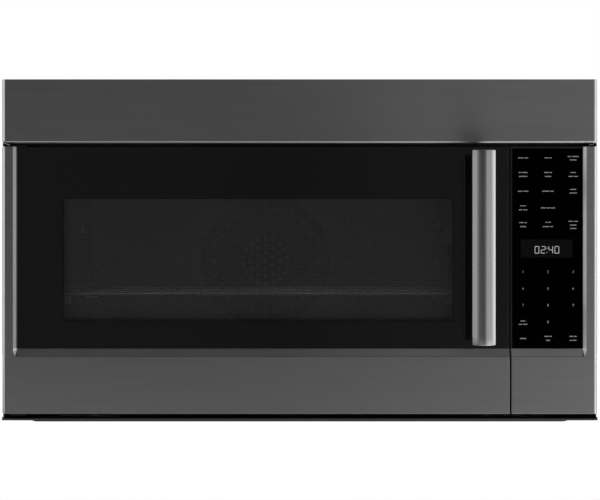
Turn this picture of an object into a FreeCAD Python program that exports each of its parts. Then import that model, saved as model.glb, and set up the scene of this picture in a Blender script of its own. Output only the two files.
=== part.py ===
import FreeCAD, Part
import math
import os

from FreeCAD import Vector as V

# Over-the-range convection microwave, 30 inch class, built as an assembly.
# Frame: millimetres, +X right as seen from the front, +Y towards the wall, +Z up.
# Origin: centre of the bounding box in X and Y, underside of the base pan at Z = 0.

# ---------------------------------------------------------------- driving sizes
W = 758.8                 # overall width, 29 7/8 in
H = 439.7                 # overall height, 17 5/16 in
HW = W / 2.0
YF = -189.5               # front plane of the steel trim
YH = -235.5               # front of the handle bar
YB = 235.5                # rear face, against the wall
RECESS = 5.0              # the black glass sits this far behind the steel
YG = YF + RECESS          # front face of the glass
GLASS_T = 4.0
Y_DB = YF + 37.2          # rear face of the door
YP = YF + 40.0            # front face of the cavity face plate
T = 1.0                   # sheet thickness
TS = 1.2                  # trim sheet thickness

VENT_Z0 = 359.0           # lower edge of the vent fascia
DOOR_Z0, DOOR_Z1 = 13.8, 354.0
DOOR_X0, DOOR_X1 = -HW, 267.3
PANEL_X0, PANEL_X1 = 269.2, HW
GLASS_Z0 = 96.6           # lower edge of the visible glass
BEVEL_Z0 = 86.4           # lower edge of the bevel under the glass
DG_X0, DB_X0 = -360.2, -364.9   # door: glass edge, bevel edge
PG_X1, PB_X1 = 360.6, 365.4     # panel: glass edge, bevel edge

WIN_X0, WIN_X1, WIN_Z0, WIN_Z1 = -302.0, 196.4, 131.0, 288.0   # screened window

CX0, CX1 = -327.0, 219.0  # cavity inside
CZ0, CZ1 = 80.0, 326.0
CY0, CY1 = YP + T, 175.5
CXM = (CX0 + CX1) / 2.0

TT_X, TT_Y = CXM, 13.5    # turntable axis
TRAY_R = 156.0
TRAY_Z = 97.3             # underside of the tray
ROLLER_R = 8.5
ROLLER_Z = CZ0 + 0.15 + ROLLER_R
RING_R = 118.0            # radius at the middle of the rollers

RACK_Z = 163.5            # centre of the rack's frame wire
RACK_WIRE = 4.6

HIN_X, HIN_Y = -369.4, -168.5   # door hinge axis
PIN_R = 3.5

HAN_X = 228.3             # handle
HAN_W, HAN_D = 28.9, 20.5
HAN_R = 19.8              # radius of its curved front
HAN_Z0, HAN_Z1 = 104.2, 346.7
EDGE_R = 5.5              # bend radius of the outer upright edges of the trim
POST_Z = (134.2, 316.7)

SCR_R = 50.0              # blower scroll radius
BLOW_X, BLOW_Y, BLOW_Z = -54.0, 150.0, CZ1 + T + SCR_R
CF_X, CF_Y, CF_Z = 300.0, 190.0, 225.0        # magnetron cooling fan
CV_X, CV_Z = CXM, 205.0                       # convection fan


# ---------------------------------------------------------------- helpers
def B(x0, x1, y0, y1, z0, z1):
    return Part.makeBox(x1 - x0, y1 - y0, z1 - z0, V(x0, y0, z0))


def C(x, y, z, r, h, d=(0, 0, 1)):
    return Part.makeCylinder(r, h, V(x, y, z), V(*d))


def tube(x, y, z, r1, r0, h, d=(0, 0, 1)):
    return C(x, y, z, r1, h, d).cut(C(x, y, z, r0, h, d))


def U(items):
    items = list(items)
    if len(items) == 1:
        return items[0]
    s = items[0].multiFuse(items[1:])
    try:
        s = s.removeSplitter()
    except Exception:
        pass
    return s


def K(a, items):
    items = list(items) if isinstance(items, (list, tuple)) else [items]
    return a.cut(Part.makeCompound(items)) if len(items) > 1 else a.cut(items[0])


def poly(pts):
    pts = [V(*p) for p in pts]
    return Part.Face(Part.makePolygon(pts + [pts[0]]))


def ext_x(yz, x0, x1):
    return poly([(x0, y, z) for y, z in yz]).extrude(V(x1 - x0, 0, 0))


def ext_y(xz, y0, y1):
    return poly([(x, y0, z) for x, z in xz]).extrude(V(0, y1 - y0, 0))


def ext_z(xy, z0, z1):
    return poly([(x, y, z0) for x, y in xy]).extrude(V(0, 0, z1 - z0))


def rbox_y(x0, x1, z0, z1, y0, y1, r):
    """Box along Y whose four long edges are rounded."""
    b = B(x0, x1, y0, y1, z0, z1)
    es = [e for e in b.Edges if abs(e.Vertexes[0].Y - e.Vertexes[1].Y) > 1e-6]
    return b.makeFillet(r, es)


def rbox_z(x0, x1, y0, y1, z0, z1, r):
    b = B(x0, x1, y0, y1, z0, z1)
    es = [e for e in b.Edges if abs(e.Vertexes[0].Z - e.Vertexes[1].Z) > 1e-6]
    return b.makeFillet(r, es)


def rbox_x(x0, x1, y0, y1, z0, z1, r):
    b = B(x0, x1, y0, y1, z0, z1)
    es = [e for e in b.Edges if abs(e.Vertexes[0].X - e.Vertexes[1].X) > 1e-6]
    return b.makeFillet(r, es)


def edges_at(shape, test):
    return [e for e in shape.Edges if all(test(v.Point) for v in e.Vertexes) and len(e.Vertexes) == 2]


def try_fillet(shape, r, test):
    es = edges_at(shape, test)
    if not es:
        return shape
    try:
        s = shape.makeFillet(r, es)
        return s if s.isValid() else shape
    except Exception:
        return shape


def turned(shape, angle, centre, axis):
    s = shape.copy()
    s.rotate(V(*centre), V(*axis), angle)
    return s


def screw_head(x, y, z, d, r=3.6, h=2.2, shank=8.0, sr=1.8):
    """Pan head screw whose head stands on the surface point (x, y, z), d points outwards."""
    n = V(*d)
    head = Part.makeCylinder(r, h, V(x, y, z), n)
    head = head.fuse(Part.makeCylinder(sr, shank, V(x, y, z) - n * shank, n))
    slot = Part.makeCylinder(r * 0.42, h * 0.6, V(x, y, z) + n * (h * 0.5), n)
    return head.cut(slot)


PARTS = {}


def node(name, shapes):
    shapes = shapes if isinstance(shapes, (list, tuple)) else [shapes]
    solids = []
    for s in shapes:
        solids += s.Solids
    bad = [i for i, s in enumerate(solids) if not s.isValid() or s.Volume <= 0]
    c = Part.makeCompound(solids) if len(solids) > 1 else solids[0]
    PARTS[name] = c
    bb = c.BoundBox
    print(f"{name:24s} solids {len(solids):3d} faces {len(c.Faces):4d} vol {c.Volume:12.1f} "
          f"x {bb.XMin:.1f}..{bb.XMax:.1f} y {bb.YMin:.1f}..{bb.YMax:.1f} z {bb.ZMin:.1f}..{bb.ZMax:.1f}"
          + (f"  BAD {bad}" if bad else ""), flush=True)


# ================================================================ cabinet
# Outer case: wrapped sheet, two sides and the top.
def case_profile(hx, zt, r, y):
    zb = 9.6
    p = [V(-hx, y, zb), V(-hx, y, zt - r)]
    e = [Part.LineSegment(p[0], p[1]).toShape()]
    m = math.sqrt(0.5)
    e.append(Part.Arc(p[1], V(-hx + r - r * m, y, zt - r + r * m), V(-hx + r, y, zt)).toShape())
    e.append(Part.LineSegment(V(-hx + r, y, zt), V(hx - r, y, zt)).toShape())
    e.append(Part.Arc(V(hx - r, y, zt), V(hx - r + r * m, y, zt - r + r * m), V(hx, y, zt - r)).toShape())
    e.append(Part.LineSegment(V(hx, y, zt - r), V(hx, y, zb)).toShape())
    e.append(Part.LineSegment(V(hx, y, zb), V(-hx, y, zb)).toShape())
    return Part.Face(Part.Wire(e))


case = case_profile(HW - 1.0, H, 3.0, YP + T).extrude(V(0, YB - T - YP - T, 0))
inner = case_profile(HW - 1.0 - T, H - T, 2.0, YP + T).extrude(V(0, YB - T - YP - T, 0))
case = case.cut(inner)
EXH = (-54.0 - 127.0, -54.0 + 127.0, 140.0, 223.0)       # 3 1/4 x 10 in exhaust opening in the top
CORD = (330.0, 205.0)
BOLT_X, BOLT_Y = 254.0, -60.0
case = K(case, [
    B(EXH[0], EXH[1], EXH[2], EXH[3], H - 5, H + 5),
    C(CORD[0], CORD[1], H - 5, 11.0, 10),
    C(-BOLT_X, BOLT_Y, H - 5, 3.4, 10), C(BOLT_X, BOLT_Y, H - 5, 3.4, 10),
])
# side louvres for the cooling air of the component bay
louv = []
for i in range(9):
    z = 60.0 + 13.0 * i
    louv.append(rbox_x(HW - 6, HW + 2, 120.0, 190.0, z, z + 4.0, 1.9))
case = K(case, louv)
# cover plate under the unused top outlet of the blower
cov = rbox_z(EXH[0] - 8, EXH[1] + 8, EXH[2] - 8, EXH[3] + 6, H - T - 1.2, H - T, 4.0)
SIDE_SCREWS = [(s, y, 22.0) for s in (-1, 1) for y in (-120.0, 40.0, 200.0)]
TOP_SCREWS = [(-330.0, 224.0), (110.0, 224.0), (250.0, 224.0)]
case = K(case, [Part.makeCylinder(1.8, 6.0, V(s * (HW - 4.0), y, z), V(s, 0, 0)) for s, y, z in SIDE_SCREWS])
case = K(case, [C(x, y, H - 5, 3.4, 10) for x, y in TOP_SCREWS])
node("outer_case", [case, cov])

# Rear panel with the slots that hang on the wall plate's tabs.
rear = B(-HW + 1.0, HW - 1.0, YB - T, YB, 9.6, H)
TAB_X = 170.0
rear = K(rear, [
    rbox_y(-TAB_X - 25, -TAB_X + 25, 30.0, 38.0, YB - 5, YB + 5, 2.0),
    rbox_y(TAB_X - 25, TAB_X + 25, 30.0, 38.0, YB - 5, YB + 5, 2.0),
])
rear = K(rear, [rbox_y(240.0 + 14 * i, 246.0 + 14 * i, 180.0, 270.0, YB - 5, YB + 5, 2.9) for i in range(9)])
REAR_SCREWS = [(x, z) for x in (-340.0, -60.0, 120.0, 340.0) for z in (60.0, 424.0)] + [(-340.0, 240.0), (372.5, 240.0)]
rear = K(rear, [C(x, YB - 5, z, 3.4, 10, (0, 1, 0)) for x, z in REAR_SCREWS])
# two pressed loops that stiffen the sheet
for x0, x1 in ((-335.0, -40.0), (-5.0, 215.0)):
    rear = rear.cut(rbox_y(x0, x1, 92.0, 392.0, YB - 0.4, YB + 1.0, 22.0).cut(rbox_y(x0 + 9.0, x1 - 9.0, 101.0, 383.0, YB - 2.0, YB + 2.0, 13.0)))
node("rear_panel", rear)

# Base pan: flange, sunk floor on which the unit stands, front lip, guides for the filters.
EX0, EX1, EY0, EY1 = -348.5, 348.5, YF + 30.0, 214.0
FIL = {"left": (-330.0, -62.0), "right": (60.0, 328.0)}
FY0, FY1 = -40.0, 112.0
LAMP = ((-330.0, -240.0), (238.0, 328.0))
LY0, LY1 = -128.0, -68.0
pan = B(-HW + 1.0, HW - 1.0, YF + 2.0, YB, 5.6, 6.6)
pan = pan.fuse(B(-HW + 0.2, HW - 0.2, YF + 0.8, YF + 5.0, 5.6, 7.8))
tub = rbox_z(EX0, EX1, EY0, EY1, 0.0, 6.6, 10.0)
tub_in = rbox_z(EX0 + T, EX1 - T, EY0 + T, EY1 - T, T, 7.0, 9.0)
pan = pan.fuse(tub).cut(tub_in)
for a, b in FIL.values():
    pan = pan.cut(rbox_z(a + 7, b - 7, FY0 + 7, FY1 - 7, -1, 3, 4.0))
    walls = [
        B(a - 2.5, a - 1.0, FY0 - 3, FY1 + 12, T - 0.2, 11.6),
        B(b + 1.0, b + 2.5, FY0 - 3, FY1 + 12, T - 0.2, 11.6),
        B(a - 2.5, a + 6.0, FY0 - 3, FY1 + 12, 10.4, 11.6),
        B(b - 6.0, b + 2.5, FY0 - 3, FY1 + 12, 10.4, 11.6),
        B(a - 2.5, b + 2.5, FY0 - 3.0, FY0 - 1.5, T - 0.2, 11.6),
        B(a - 2.5, b + 2.5, FY1 + 10.5, FY1 + 12.0, T - 0.2, 11.6),
    ]
    pan = pan.fuse(U(walls))
for a, b in LAMP:
    pan = pan.cut(rbox_z(a + 4, b - 4, LY0 + 4, LY1 - 4, -1, 3, 5.0))
pan = pan.fuse(B(-HW + 1.0, -HW + 2.0, YP + T, YB, 5.6, 9.6)).fuse(B(HW - 2.0, HW - 1.0, YP + T, YB, 5.6, 9.6))
pan = pan.fuse(B(-HW + 2.0, -HW + 3.0, YP + T, YB - T, 5.6, 30.0)).fuse(B(HW - 3.0, HW - 2.0, YP + T, YB - T, 5.6, 30.0))
# small gussets at the ends of the front lip
for s in (-1, 1):
    pan = pan.fuse(ext_y([(s * (HW - 0.2), 7.8), (s * (HW - 0.6), 10.4), (s * (HW - 3.5), 7.8)], YF + 0.8, YF + 2.2))
pan = K(pan, [Part.makeCylinder(1.8, 6.0, V(s * (HW - 4.0), y, z), V(s, 0, 0)) for s, y, z in SIDE_SCREWS])
LENS_SCREWS = [((a + b) / 2, y) for a, b in LAMP for y in (LY0 - 5.0, LY1 + 5.0)]
pan = K(pan, [C(x, y, -1, 1.6, 3) for x, y in LENS_SCREWS])
pan = pan.removeSplitter()
# shelf of the component bay, above the right-hand air inlet
SHELF = 22.0
shelf = B(224.0, 370.5, -48.0, 222.0, SHELF - 1.2, SHELF)
shelf = shelf.fuse(B(224.0, 225.2, -48.0, 222.0, SHELF - 10.0, CZ0 - T - 1.0).cut(B(222, 227, 20.0, 150.0, SHELF + 6.0, 200.0)))
shelf = shelf.fuse(B(369.3, 370.5, -48.0, 222.0, 6.6, SHELF))
shelf = shelf.fuse(B(224.0, 370.5, 220.8, 222.0, 6.6, SHELF)).removeSplitter()
node("base_pan", [pan, shelf])

# Lens plates over the two cooktop lamps, and the lamps.
lens = [rbox_z(a, b, LY0, LY1, T, T + 2.4, 6.0) for a, b in LAMP]
node("cooktop_lamp_lenses", lens)
lamps = []
for a, b in LAMP:
    xm, ym = (a + b) / 2, (LY0 + LY1) / 2
    lamps.append(C(xm - 24, ym, 22.0, 13.0, 30.0, (1, 0, 0)).fuse(C(xm + 6, ym, 22.0, 15.0, 22.0, (1, 0, 0))))
node("cooktop_lamps", lamps)

# Cavity face plate with the slots for the door latch.
LX0, LX1 = 246.6, 254.6            # latch hook thickness, in X
LATCH_Z = (140.0, 296.0)           # centre line of the two hooks
fp = B(-HW + 2.4, HW - 2.4, YP, YP + T, 6.6, VENT_Z0)
fp = fp.cut(B(HIN_X - 7.2, HIN_X + 18.2, YP - 1, YP + 2, 354.8, 357.2)).cut(B(HIN_X - 7.2, HIN_X + 18.2, YP - 1, YP + 2, 9.7, 12.1))
fp = K(fp, [
    rbox_y(CX0, CX1, CZ0, CZ1, YP - 2, YP + 3, 11.0),
    B(282.0, 366.0, YP - 2, YP + 3, 60.0, 336.0),
    *[rbox_y(LX0 - 1.2, LX1 + 1.2, z - 11.5, z + 12.0, YP - 2, YP + 3, 1.5) for z in LATCH_Z],
])
# folded tabs that close the ends of the gaps over and under the door and panel
for s in (-1, 1):
    for z0, z1, ya in ((354.8, VENT_Z0 - 0.1, YF + 3.0), (6.7, 13.1, YF + 5.2)):
        xa, xb = sorted((s * (HW - 0.8), s * (HW - 1.8)))
        fp = fp.fuse(B(xa, xb, ya, YP + T, z0, z1))
        xa, xb = sorted((s * (HW - 1.8), s * (HW - 2.4)))
        fp = fp.fuse(B(xa, xb, YP, YP + T, z0, z1))
fp = fp.removeSplitter()
node("cavity_face_plate", fp)

# Cavity: welded box with rounded corners.
WG_Y0, WG_Y1, WG_Z0, WG_Z1 = -20.0, 80.0, 240.0, 300.0       # waveguide mouth in the right wall
LMP = (-120.0, -70.0, 270.0, 300.0)                           # cavity lamp window in the right wall (y, z)
outer = rbox_y(CX0 - T, CX1 + T, CZ0 - T, CZ1 + T, CY0, CY1 + T, 12.0)
inn = rbox_y(CX0, CX1, CZ0, CZ1, CY0 - 1, CY1, 11.0)
cav = outer.cut(inn)
CVR = 92.0
cav = K(cav, [
    B(CX1 - 2, CX1 + 3, WG_Y0, WG_Y1, WG_Z0, WG_Z1),
    B(CX1 - 2, CX1 + 3, LMP[0], LMP[1], LMP[2], LMP[3]),
    C(TT_X, TT_Y, CZ0 - 4, 13.5, 8),
    C(CV_X, CY1 - 2, CV_Z, CVR, 6, (0, 1, 0)),
])
node("cavity_shell", cav)

# Perforated cover over the convection fan.
cc = C(CV_X, CY1 - 1.0, CV_Z, CVR + 10.0, 1.0, (0, 1, 0))
holes = []
for ring, n, r in ((0, 1, 3.0), (12, 6, 3.0), (24, 12, 3.0), (36, 18, 3.0)):
    for i in range(n):
        a = 2 * math.pi * (i + 0.5 * (ring % 24 == 12)) / n
        holes.append(C(CV_X + ring * math.cos(a), CY1 - 3, CV_Z + ring * math.sin(a), r, 5, (0, 1, 0)))
for k in range(24):
    a = 2 * math.pi * k / 24
    s = rbox_y(CV_X + 66, CV_X + 88, CV_Z - 3, CV_Z + 3, CY1 - 3, CY1 + 3, 2.9)
    holes.append(turned(s, math.degrees(a), (CV_X, 0, CV_Z), (0, 1, 0)))
cc = K(cc, holes)
node("convection_cover", cc)

# Pan behind the cavity that holds the convection fan and heater, heater ring, motor.
CVB = CY1 + T
ch = C(CV_X, CVB, CV_Z, 104.0, 23.0, (0, 1, 0)).cut(C(CV_X, CVB - 1, CV_Z, 103.0, 23.0, (0, 1, 0)))
ch = ch.fuse(tube(CV_X, CVB, CV_Z, 112.0, 103.5, 1.0, (0, 1, 0)))
ch = ch.cut(C(CV_X, CVB, CV_Z, 6.0, 40, (0, 1, 0)))
node("convection_housing", ch)
ht = Part.makeTorus(84.0, 3.5, V(CV_X, CVB + 12.0, CV_Z), V(0, 1, 0))
ht2 = Part.makeTorus(93.0, 3.5, V(CV_X, CVB + 12.0, CV_Z), V(0, 1, 0))
node("convection_heater", [ht, ht2])
mt = C(CV_X, CVB + 23.2, CV_Z, 31.0, 28.0, (0, 1, 0))
mt = mt.fuse(B(CV_X - 42, CV_X + 42, CVB + 23.2, CVB + 25.2, CV_Z - 9, CV_Z + 9))
mt = mt.cut(C(CV_X, CVB + 20, CV_Z, 3.2, 18, (0, 1, 0)))
node("convection_motor", mt)

# Waveguide, its cover in the cavity, cavity lamp.
wgx = CX1 + T
wg = B(wgx, wgx + 42, WG_Y0 - 1, 140.0, WG_Z0 - 1, WG_Z1 + 1).cut(
    B(wgx - 1, wgx + 41, WG_Y0, 139.0, WG_Z0, WG_Z1))
wg = wg.fuse(B(wgx, wgx + 1, WG_Y1 + 1, 140.0, WG_Z0 - 1, WG_Z1 + 1))
wg = wg.cut(C(wgx + 30, 104.0, (WG_Z0 + WG_Z1) / 2, 13.0, 20, (1, 0, 0)))
node("waveguide", wg)
node("waveguide_cover", rbox_x(CX1 - 0.6, CX1, WG_Y0 - 8, WG_Y1 + 8, WG_Z0 - 8, WG_Z1 + 8, 3.0))
lampl = [
    B(CX1, CX1 + T, LMP[0] + 0.2, LMP[1] - 0.2, LMP[2] + 0.2, LMP[3] - 0.2),
    C(CX1 + 11, -114.0, 285.0, 9.0, 24.0, (0, 1, 0)).fuse(C(CX1 + 11, -90.0, 285.0, 6.5, 18.0, (0, 1, 0))),
]
node("cavity_lamp", lampl)

# Magnetron: yoke, fins, filter box, antenna.
mgy, mgz = 104.0, (WG_Z0 + WG_Z1) / 2
mx = wgx + 42
yoke = B(mx, mx + 58, mgy - 44, mgy + 44, mgz - 38, mgz + 38).cut(
    B(mx + 2, mx + 56, mgy - 50, mgy + 50, mgz - 36, mgz + 36))
mag = [yoke]
for i in range(10):
    x = mx + 6 + 4.9 * i
    mag.append(B(x, x + 0.8, mgy - 40, mgy + 40, mgz - 34, mgz + 34).cut(C(x - 1, mgy, mgz, 20.1, 3, (1, 0, 0))))
mag.append(C(mx + 2.1, mgy, mgz, 20.0, 53.8, (1, 0, 0)))
mag.append(B(mx + 58, mx + 82, mgy - 30, mgy + 30, mgz - 26, mgz + 26))
mag.append(C(mx - 30, mgy, mgz, 8.0, 30.0, (1, 0, 0)).fuse(C(mx - 1.9, mgy, mgz, 12.4, 1.9, (1, 0, 0))))
node("magnetron", mag)

# High voltage transformer and capacitor, on the floor of the bay.
tx0, tx1, ty0, ty1 = 232.0, 334.0, 16.0, 116.0
core = B(tx0 + 12, tx1 - 12, ty0, ty1, SHELF, SHELF + 72.0)
hz0, hz1 = SHELF + 16.0, SHELF + 56.0
core = core.cut(B(tx0 + 26, tx0 + 40, ty0 - 1, ty1 + 1, hz0, hz1)).cut(B(tx1 - 40, tx1 - 26, ty0 - 1, ty1 + 1, hz0, hz1))
coil = rbox_y(tx0 + 26.5, tx1 - 26.5, hz0 + 0.5, hz1 - 0.5, ty0 - 14, ty0 - 0.3, 6.0)
coil2 = rbox_y(tx0 + 26.5, tx1 - 26.5, hz0 + 0.5, hz1 - 0.5, ty1 + 0.3, ty1 + 14, 6.0)
legs = B(tx0 + 26.5, tx0 + 39.5, ty0 - 0.3, ty1 + 0.3, hz0 + 0.5, hz1 - 0.5)
legs2 = B(tx1 - 39.5, tx1 - 26.5, ty0 - 0.3, ty1 + 0.3, hz0 + 0.5, hz1 - 0.5)
coils = U([coil, coil2, legs, legs2])
node("hv_transformer", [core, coils])
cap = rbox_z(240.0, 304.0, 142.0, 176.0, SHELF, SHELF + 95.0, 16.9)
cap = cap.fuse(B(252.0, 258.0, 158.0, 159.0, SHELF + 95.0, SHELF + 107.0)).fuse(B(286.0, 292.0, 158.0, 159.0, SHELF + 95.0, SHELF + 107.0))
node("hv_capacitor", cap)

# Magnetron cooling fan: shroud, motor.
SHY = CF_Y + 8.0
sh = B(CF_X - 68, CF_X + 68, SHY, SHY + 1.5, CF_Z - 68, CF_Z + 68).cut(C(CF_X, SHY - 2, CF_Z, 55.0, 6, (0, 1, 0)))
sh = sh.fuse(tube(CF_X, SHY - 16.0, CF_Z, 56.5, 55.0, 16.5, (0, 1, 0)))
sh = sh.fuse(B(CF_X - 60, CF_X + 60, SHY + 1.5, SHY + 3.7, CF_Z - 6, CF_Z + 6))
sh = sh.fuse(B(CF_X - 68, CF_X + 68, SHY + 1.5, YB - T, CF_Z - 68, CF_Z + 68).cut(B(CF_X - 66.5, CF_X + 66.5, SHY, YB + 5, CF_Z - 66.5, CF_Z + 66.5)))
sh = sh.cut(C(CF_X, SHY - 2, CF_Z, 3.4, 9, (0, 1, 0)))
node("cooling_fan_shroud", sh)
fm = B(CF_X - 28, CF_X + 28, SHY + 3.7, SHY + 21.7, CF_Z - 24, CF_Z + 24)
fm = fm.cut(B(CF_X - 12, CF_X + 12, SHY + 2, SHY + 23, CF_Z - 18, CF_Z - 12))
fm = fm.fuse(C(CF_X, SHY + 21.7, CF_Z, 11.0, 6.0, (0, 1, 0))).cut(C(CF_X, SHY, CF_Z, 3.3, 16.0, (0, 1, 0)))
node("cooling_fan_motor", fm)

# Ventilation blower: two scroll housings and the double-shafted motor.
def scroll(x0, x1):
    o = C(x0, BLOW_Y, BLOW_Z, SCR_R, x1 - x0, (1, 0, 0)).fuse(
        B(x0, x1, BLOW_Y - 92, BLOW_Y, BLOW_Z - 4, BLOW_Z + SCR_R))
    i = C(x0 + 1, BLOW_Y, BLOW_Z, SCR_R - 1, x1 - x0 - 2, (1, 0, 0)).fuse(
        B(x0 + 1, x1 - 1, BLOW_Y - 94, BLOW_Y, BLOW_Z - 3, BLOW_Z + SCR_R - 1))
    s = o.cut(i)
    return s.cut(C(x0 - 2, BLOW_Y, BLOW_Z, 32.0, x1 - x0 + 4, (1, 0, 0)))


SC = ((-158.0, -90.0), (-18.0, 50.0))
hs = [scroll(*SC[0]), scroll(*SC[1])]
link = B(-90.0, -18.0, BLOW_Y + 35.0, BLOW_Y + 49.0, BLOW_Z - 50.0, BLOW_Z - 49.0)
node("blower_housing", [U(hs + [link.fuse(B(-90.0, -18.0, BLOW_Y - 49.0, BLOW_Y - 35.0, BLOW_Z - 4.0, BLOW_Z - 3.0))])])
bm = C(-84.0, BLOW_Y, BLOW_Z, 34.0, 60.0, (1, 0, 0)).cut(C(-85.0, BLOW_Y, BLOW_Z, 4.2, 62.0, (1, 0, 0)))
bm = bm.fuse(tube(-88.0, BLOW_Y, BLOW_Z, 10.0, 4.2, 4.0, (1, 0, 0))).fuse(tube(-24.0, BLOW_Y, BLOW_Z, 10.0, 4.2, 4.0, (1, 0, 0)))
bm = bm.fuse(B(-72.0, -36.0, BLOW_Y - 8, BLOW_Y + 8, BLOW_Z - 49.0, BLOW_Z - 32.0))
node("blower_motor", bm)

# Charcoal filter behind the louvres.
chf = B(-250.0, 140.0, -120.0, -104.0, CZ1 + T, 430.0)
node("charcoal_filter", chf)

# Turntable motor under the cavity floor.
tm = C(TT_X, TT_Y, CZ0 - T - 21.0, 25.0, 21.0)
tm = tm.fuse(B(TT_X - 34, TT_X + 34, TT_Y - 6, TT_Y + 6, CZ0 - T - 1.6, CZ0 - T)).cut(C(TT_X, TT_Y, CZ0 - T - 14, 3.55, 16))
node("turntable_motor", tm)

# Rack supports: four pegs on the side walls.
PEG_T = RACK_Z - RACK_WIRE / 2 - 0.2
sup = []
for y in (-92.0, 118.0):
    for s, xw in ((1, CX0), (-1, CX1)):
        x0, x1 = (xw, xw + 16) if s > 0 else (xw - 16, xw)
        p = rbox_x(x0, x1, y - 9, y + 9, PEG_T - 12, PEG_T, 3.0)
        sup.append(p)
node("rack_supports", sup)

# Bush for the mains cord in the top.
bush = tube(CORD[0], CORD[1], H - T - 6.0, 10.9, 5.5, 7.0)
bush = bush.fuse(tube(CORD[0], CORD[1], H - T - 2.5, 14.0, 5.5, 2.5))
node("cord_bush", bush)

# ================================================================ trim at the front
# Vent fascia: folded sheet with rounded ends.
f = B(-HW, HW, YF, YP + T, VENT_Z0, H)
f = f.makeFillet(EDGE_R, [e for e in f.Edges if all(abs(abs(v.X) - HW) < 1e-6 and abs(v.Y - YF) < 1e-6 for v in e.Vertexes)
                       and abs(e.Vertexes[0].Z - e.Vertexes[1].Z) > 1])
v_before = f.Volume
f = try_fillet(f, 2.3, lambda p: p.y < YF + EDGE_R + 0.1 and abs(p.z - VENT_Z0) < 1e-6)
v_mid = f.Volume
f = try_fillet(f, 0.7, lambda p: p.y < YF + EDGE_R + 0.1 and abs(p.z - H) < 1e-6)
print("fascia edge roundings take", round(v_before - v_mid, 1), round(v_mid - f.Volume, 1))
hollow = B(-HW + TS, HW - TS, YF + TS, YP + 5, VENT_Z0 + TS, H - TS)
hollow = hollow.makeFillet(EDGE_R - TS, [e for e in hollow.Edges if all(abs(v.Y - YF - TS) < 1e-6 for v in e.Vertexes)
                                         and abs(e.Vertexes[0].Z - e.Vertexes[1].Z) > 1])
hollow = hollow.fuse(B(-HW + 22, HW - 22, YF + 7.0, YP + 5, H - 10, H + 5))
f = f.cut(hollow)
node("vent_fascia", f)

# Louvre body behind the fascia; the air leaves through the slots in its top.
lx = HW - TS - 0.2
lv = B(-lx + 22, lx - 22, YF + 7.2, YP - 0.8, H - 3.2, H - 0.6)
lv = lv.fuse(B(-lx, lx, YP - 2.8, YP - 0.8, VENT_Z0 + TS + 0.2, H - TS - 0.2).cut(
    B(-lx + 60, lx - 60, YP - 5, YP + 2, VENT_Z0 + 10, H - 12)))
lv = lv.fuse(B(-lx, lx, YF + EDGE_R + 0.6, YP - 0.8, VENT_Z0 + TS + 0.2, VENT_Z0 + TS + 2.2))
for s in (-1, 1):
    lv = lv.fuse(B(min(s * lx, s * (lx - 2)), max(s * lx, s * (lx - 2)), YF + EDGE_R + 0.6, YP - 0.8, VENT_Z0 + TS + 0.2, H - TS - 0.2))
slots = []
n = 62
for i in range(n):
    x = -340.0 + 680.0 * (i + 0.5) / n
    slots.append(rbox_z(x - 2.6, x + 2.6, YF + 11.0, YP - 6.0, H - 8, H + 2, 2.5))
lv = K(lv, slots)
node("vent_louvre", lv)


# Recess that carries the glass: two bevels meeting in a small corner facet.
def pocket(xo, xi, xfar, ztop, grow=0.0):
    """Convex cutter for the recess. xo, xi: bevel and glass edge on the closed side."""
    s = 1 if xi > xo else -1
    xo, xi = xo - s * grow, xi - s * grow
    zo, zi = BEVEL_Z0 - grow, GLASS_Z0 - grow
    y0, y1 = YF - 0.0, YG
    kx, kz = (xi - xo) / RECESS, (zi - zo) / RECESS
    ya, yb = y0 - 2.0, y1 + (grow if grow else 0.0)
    a = ext_z([(xo - 2 * kx, ya), (xi + (yb - y1) * kx, yb), (xfar, yb), (xfar, ya)], zo - 30, ztop)
    b = ext_x([(ya, zo - 2 * kz), (yb, zi + (yb - y1) * kz), (yb, ztop), (ya, ztop)], min(xo - 30, xfar), max(xo + 30, xfar))
    p = a.common(b)
    # corner facet
    A, Bp, Cp, D = V(xo, y0, zo + 5.6), V(xo + s * 2.9, y0, zo), V(xi, y1, zi), V(xo, y0, zo)
    back = V(0, -0.001, 0)
    faces = [Part.Face(Part.makePolygon(q + [q[0]])) for q in ([A, Bp, Cp], [A, Bp, D], [Bp, Cp, D], [A, Cp, D])]
    t = Part.Solid(Part.Shell(faces))
    if t.Volume < 0:
        t.reverse()
    return p, t


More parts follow.
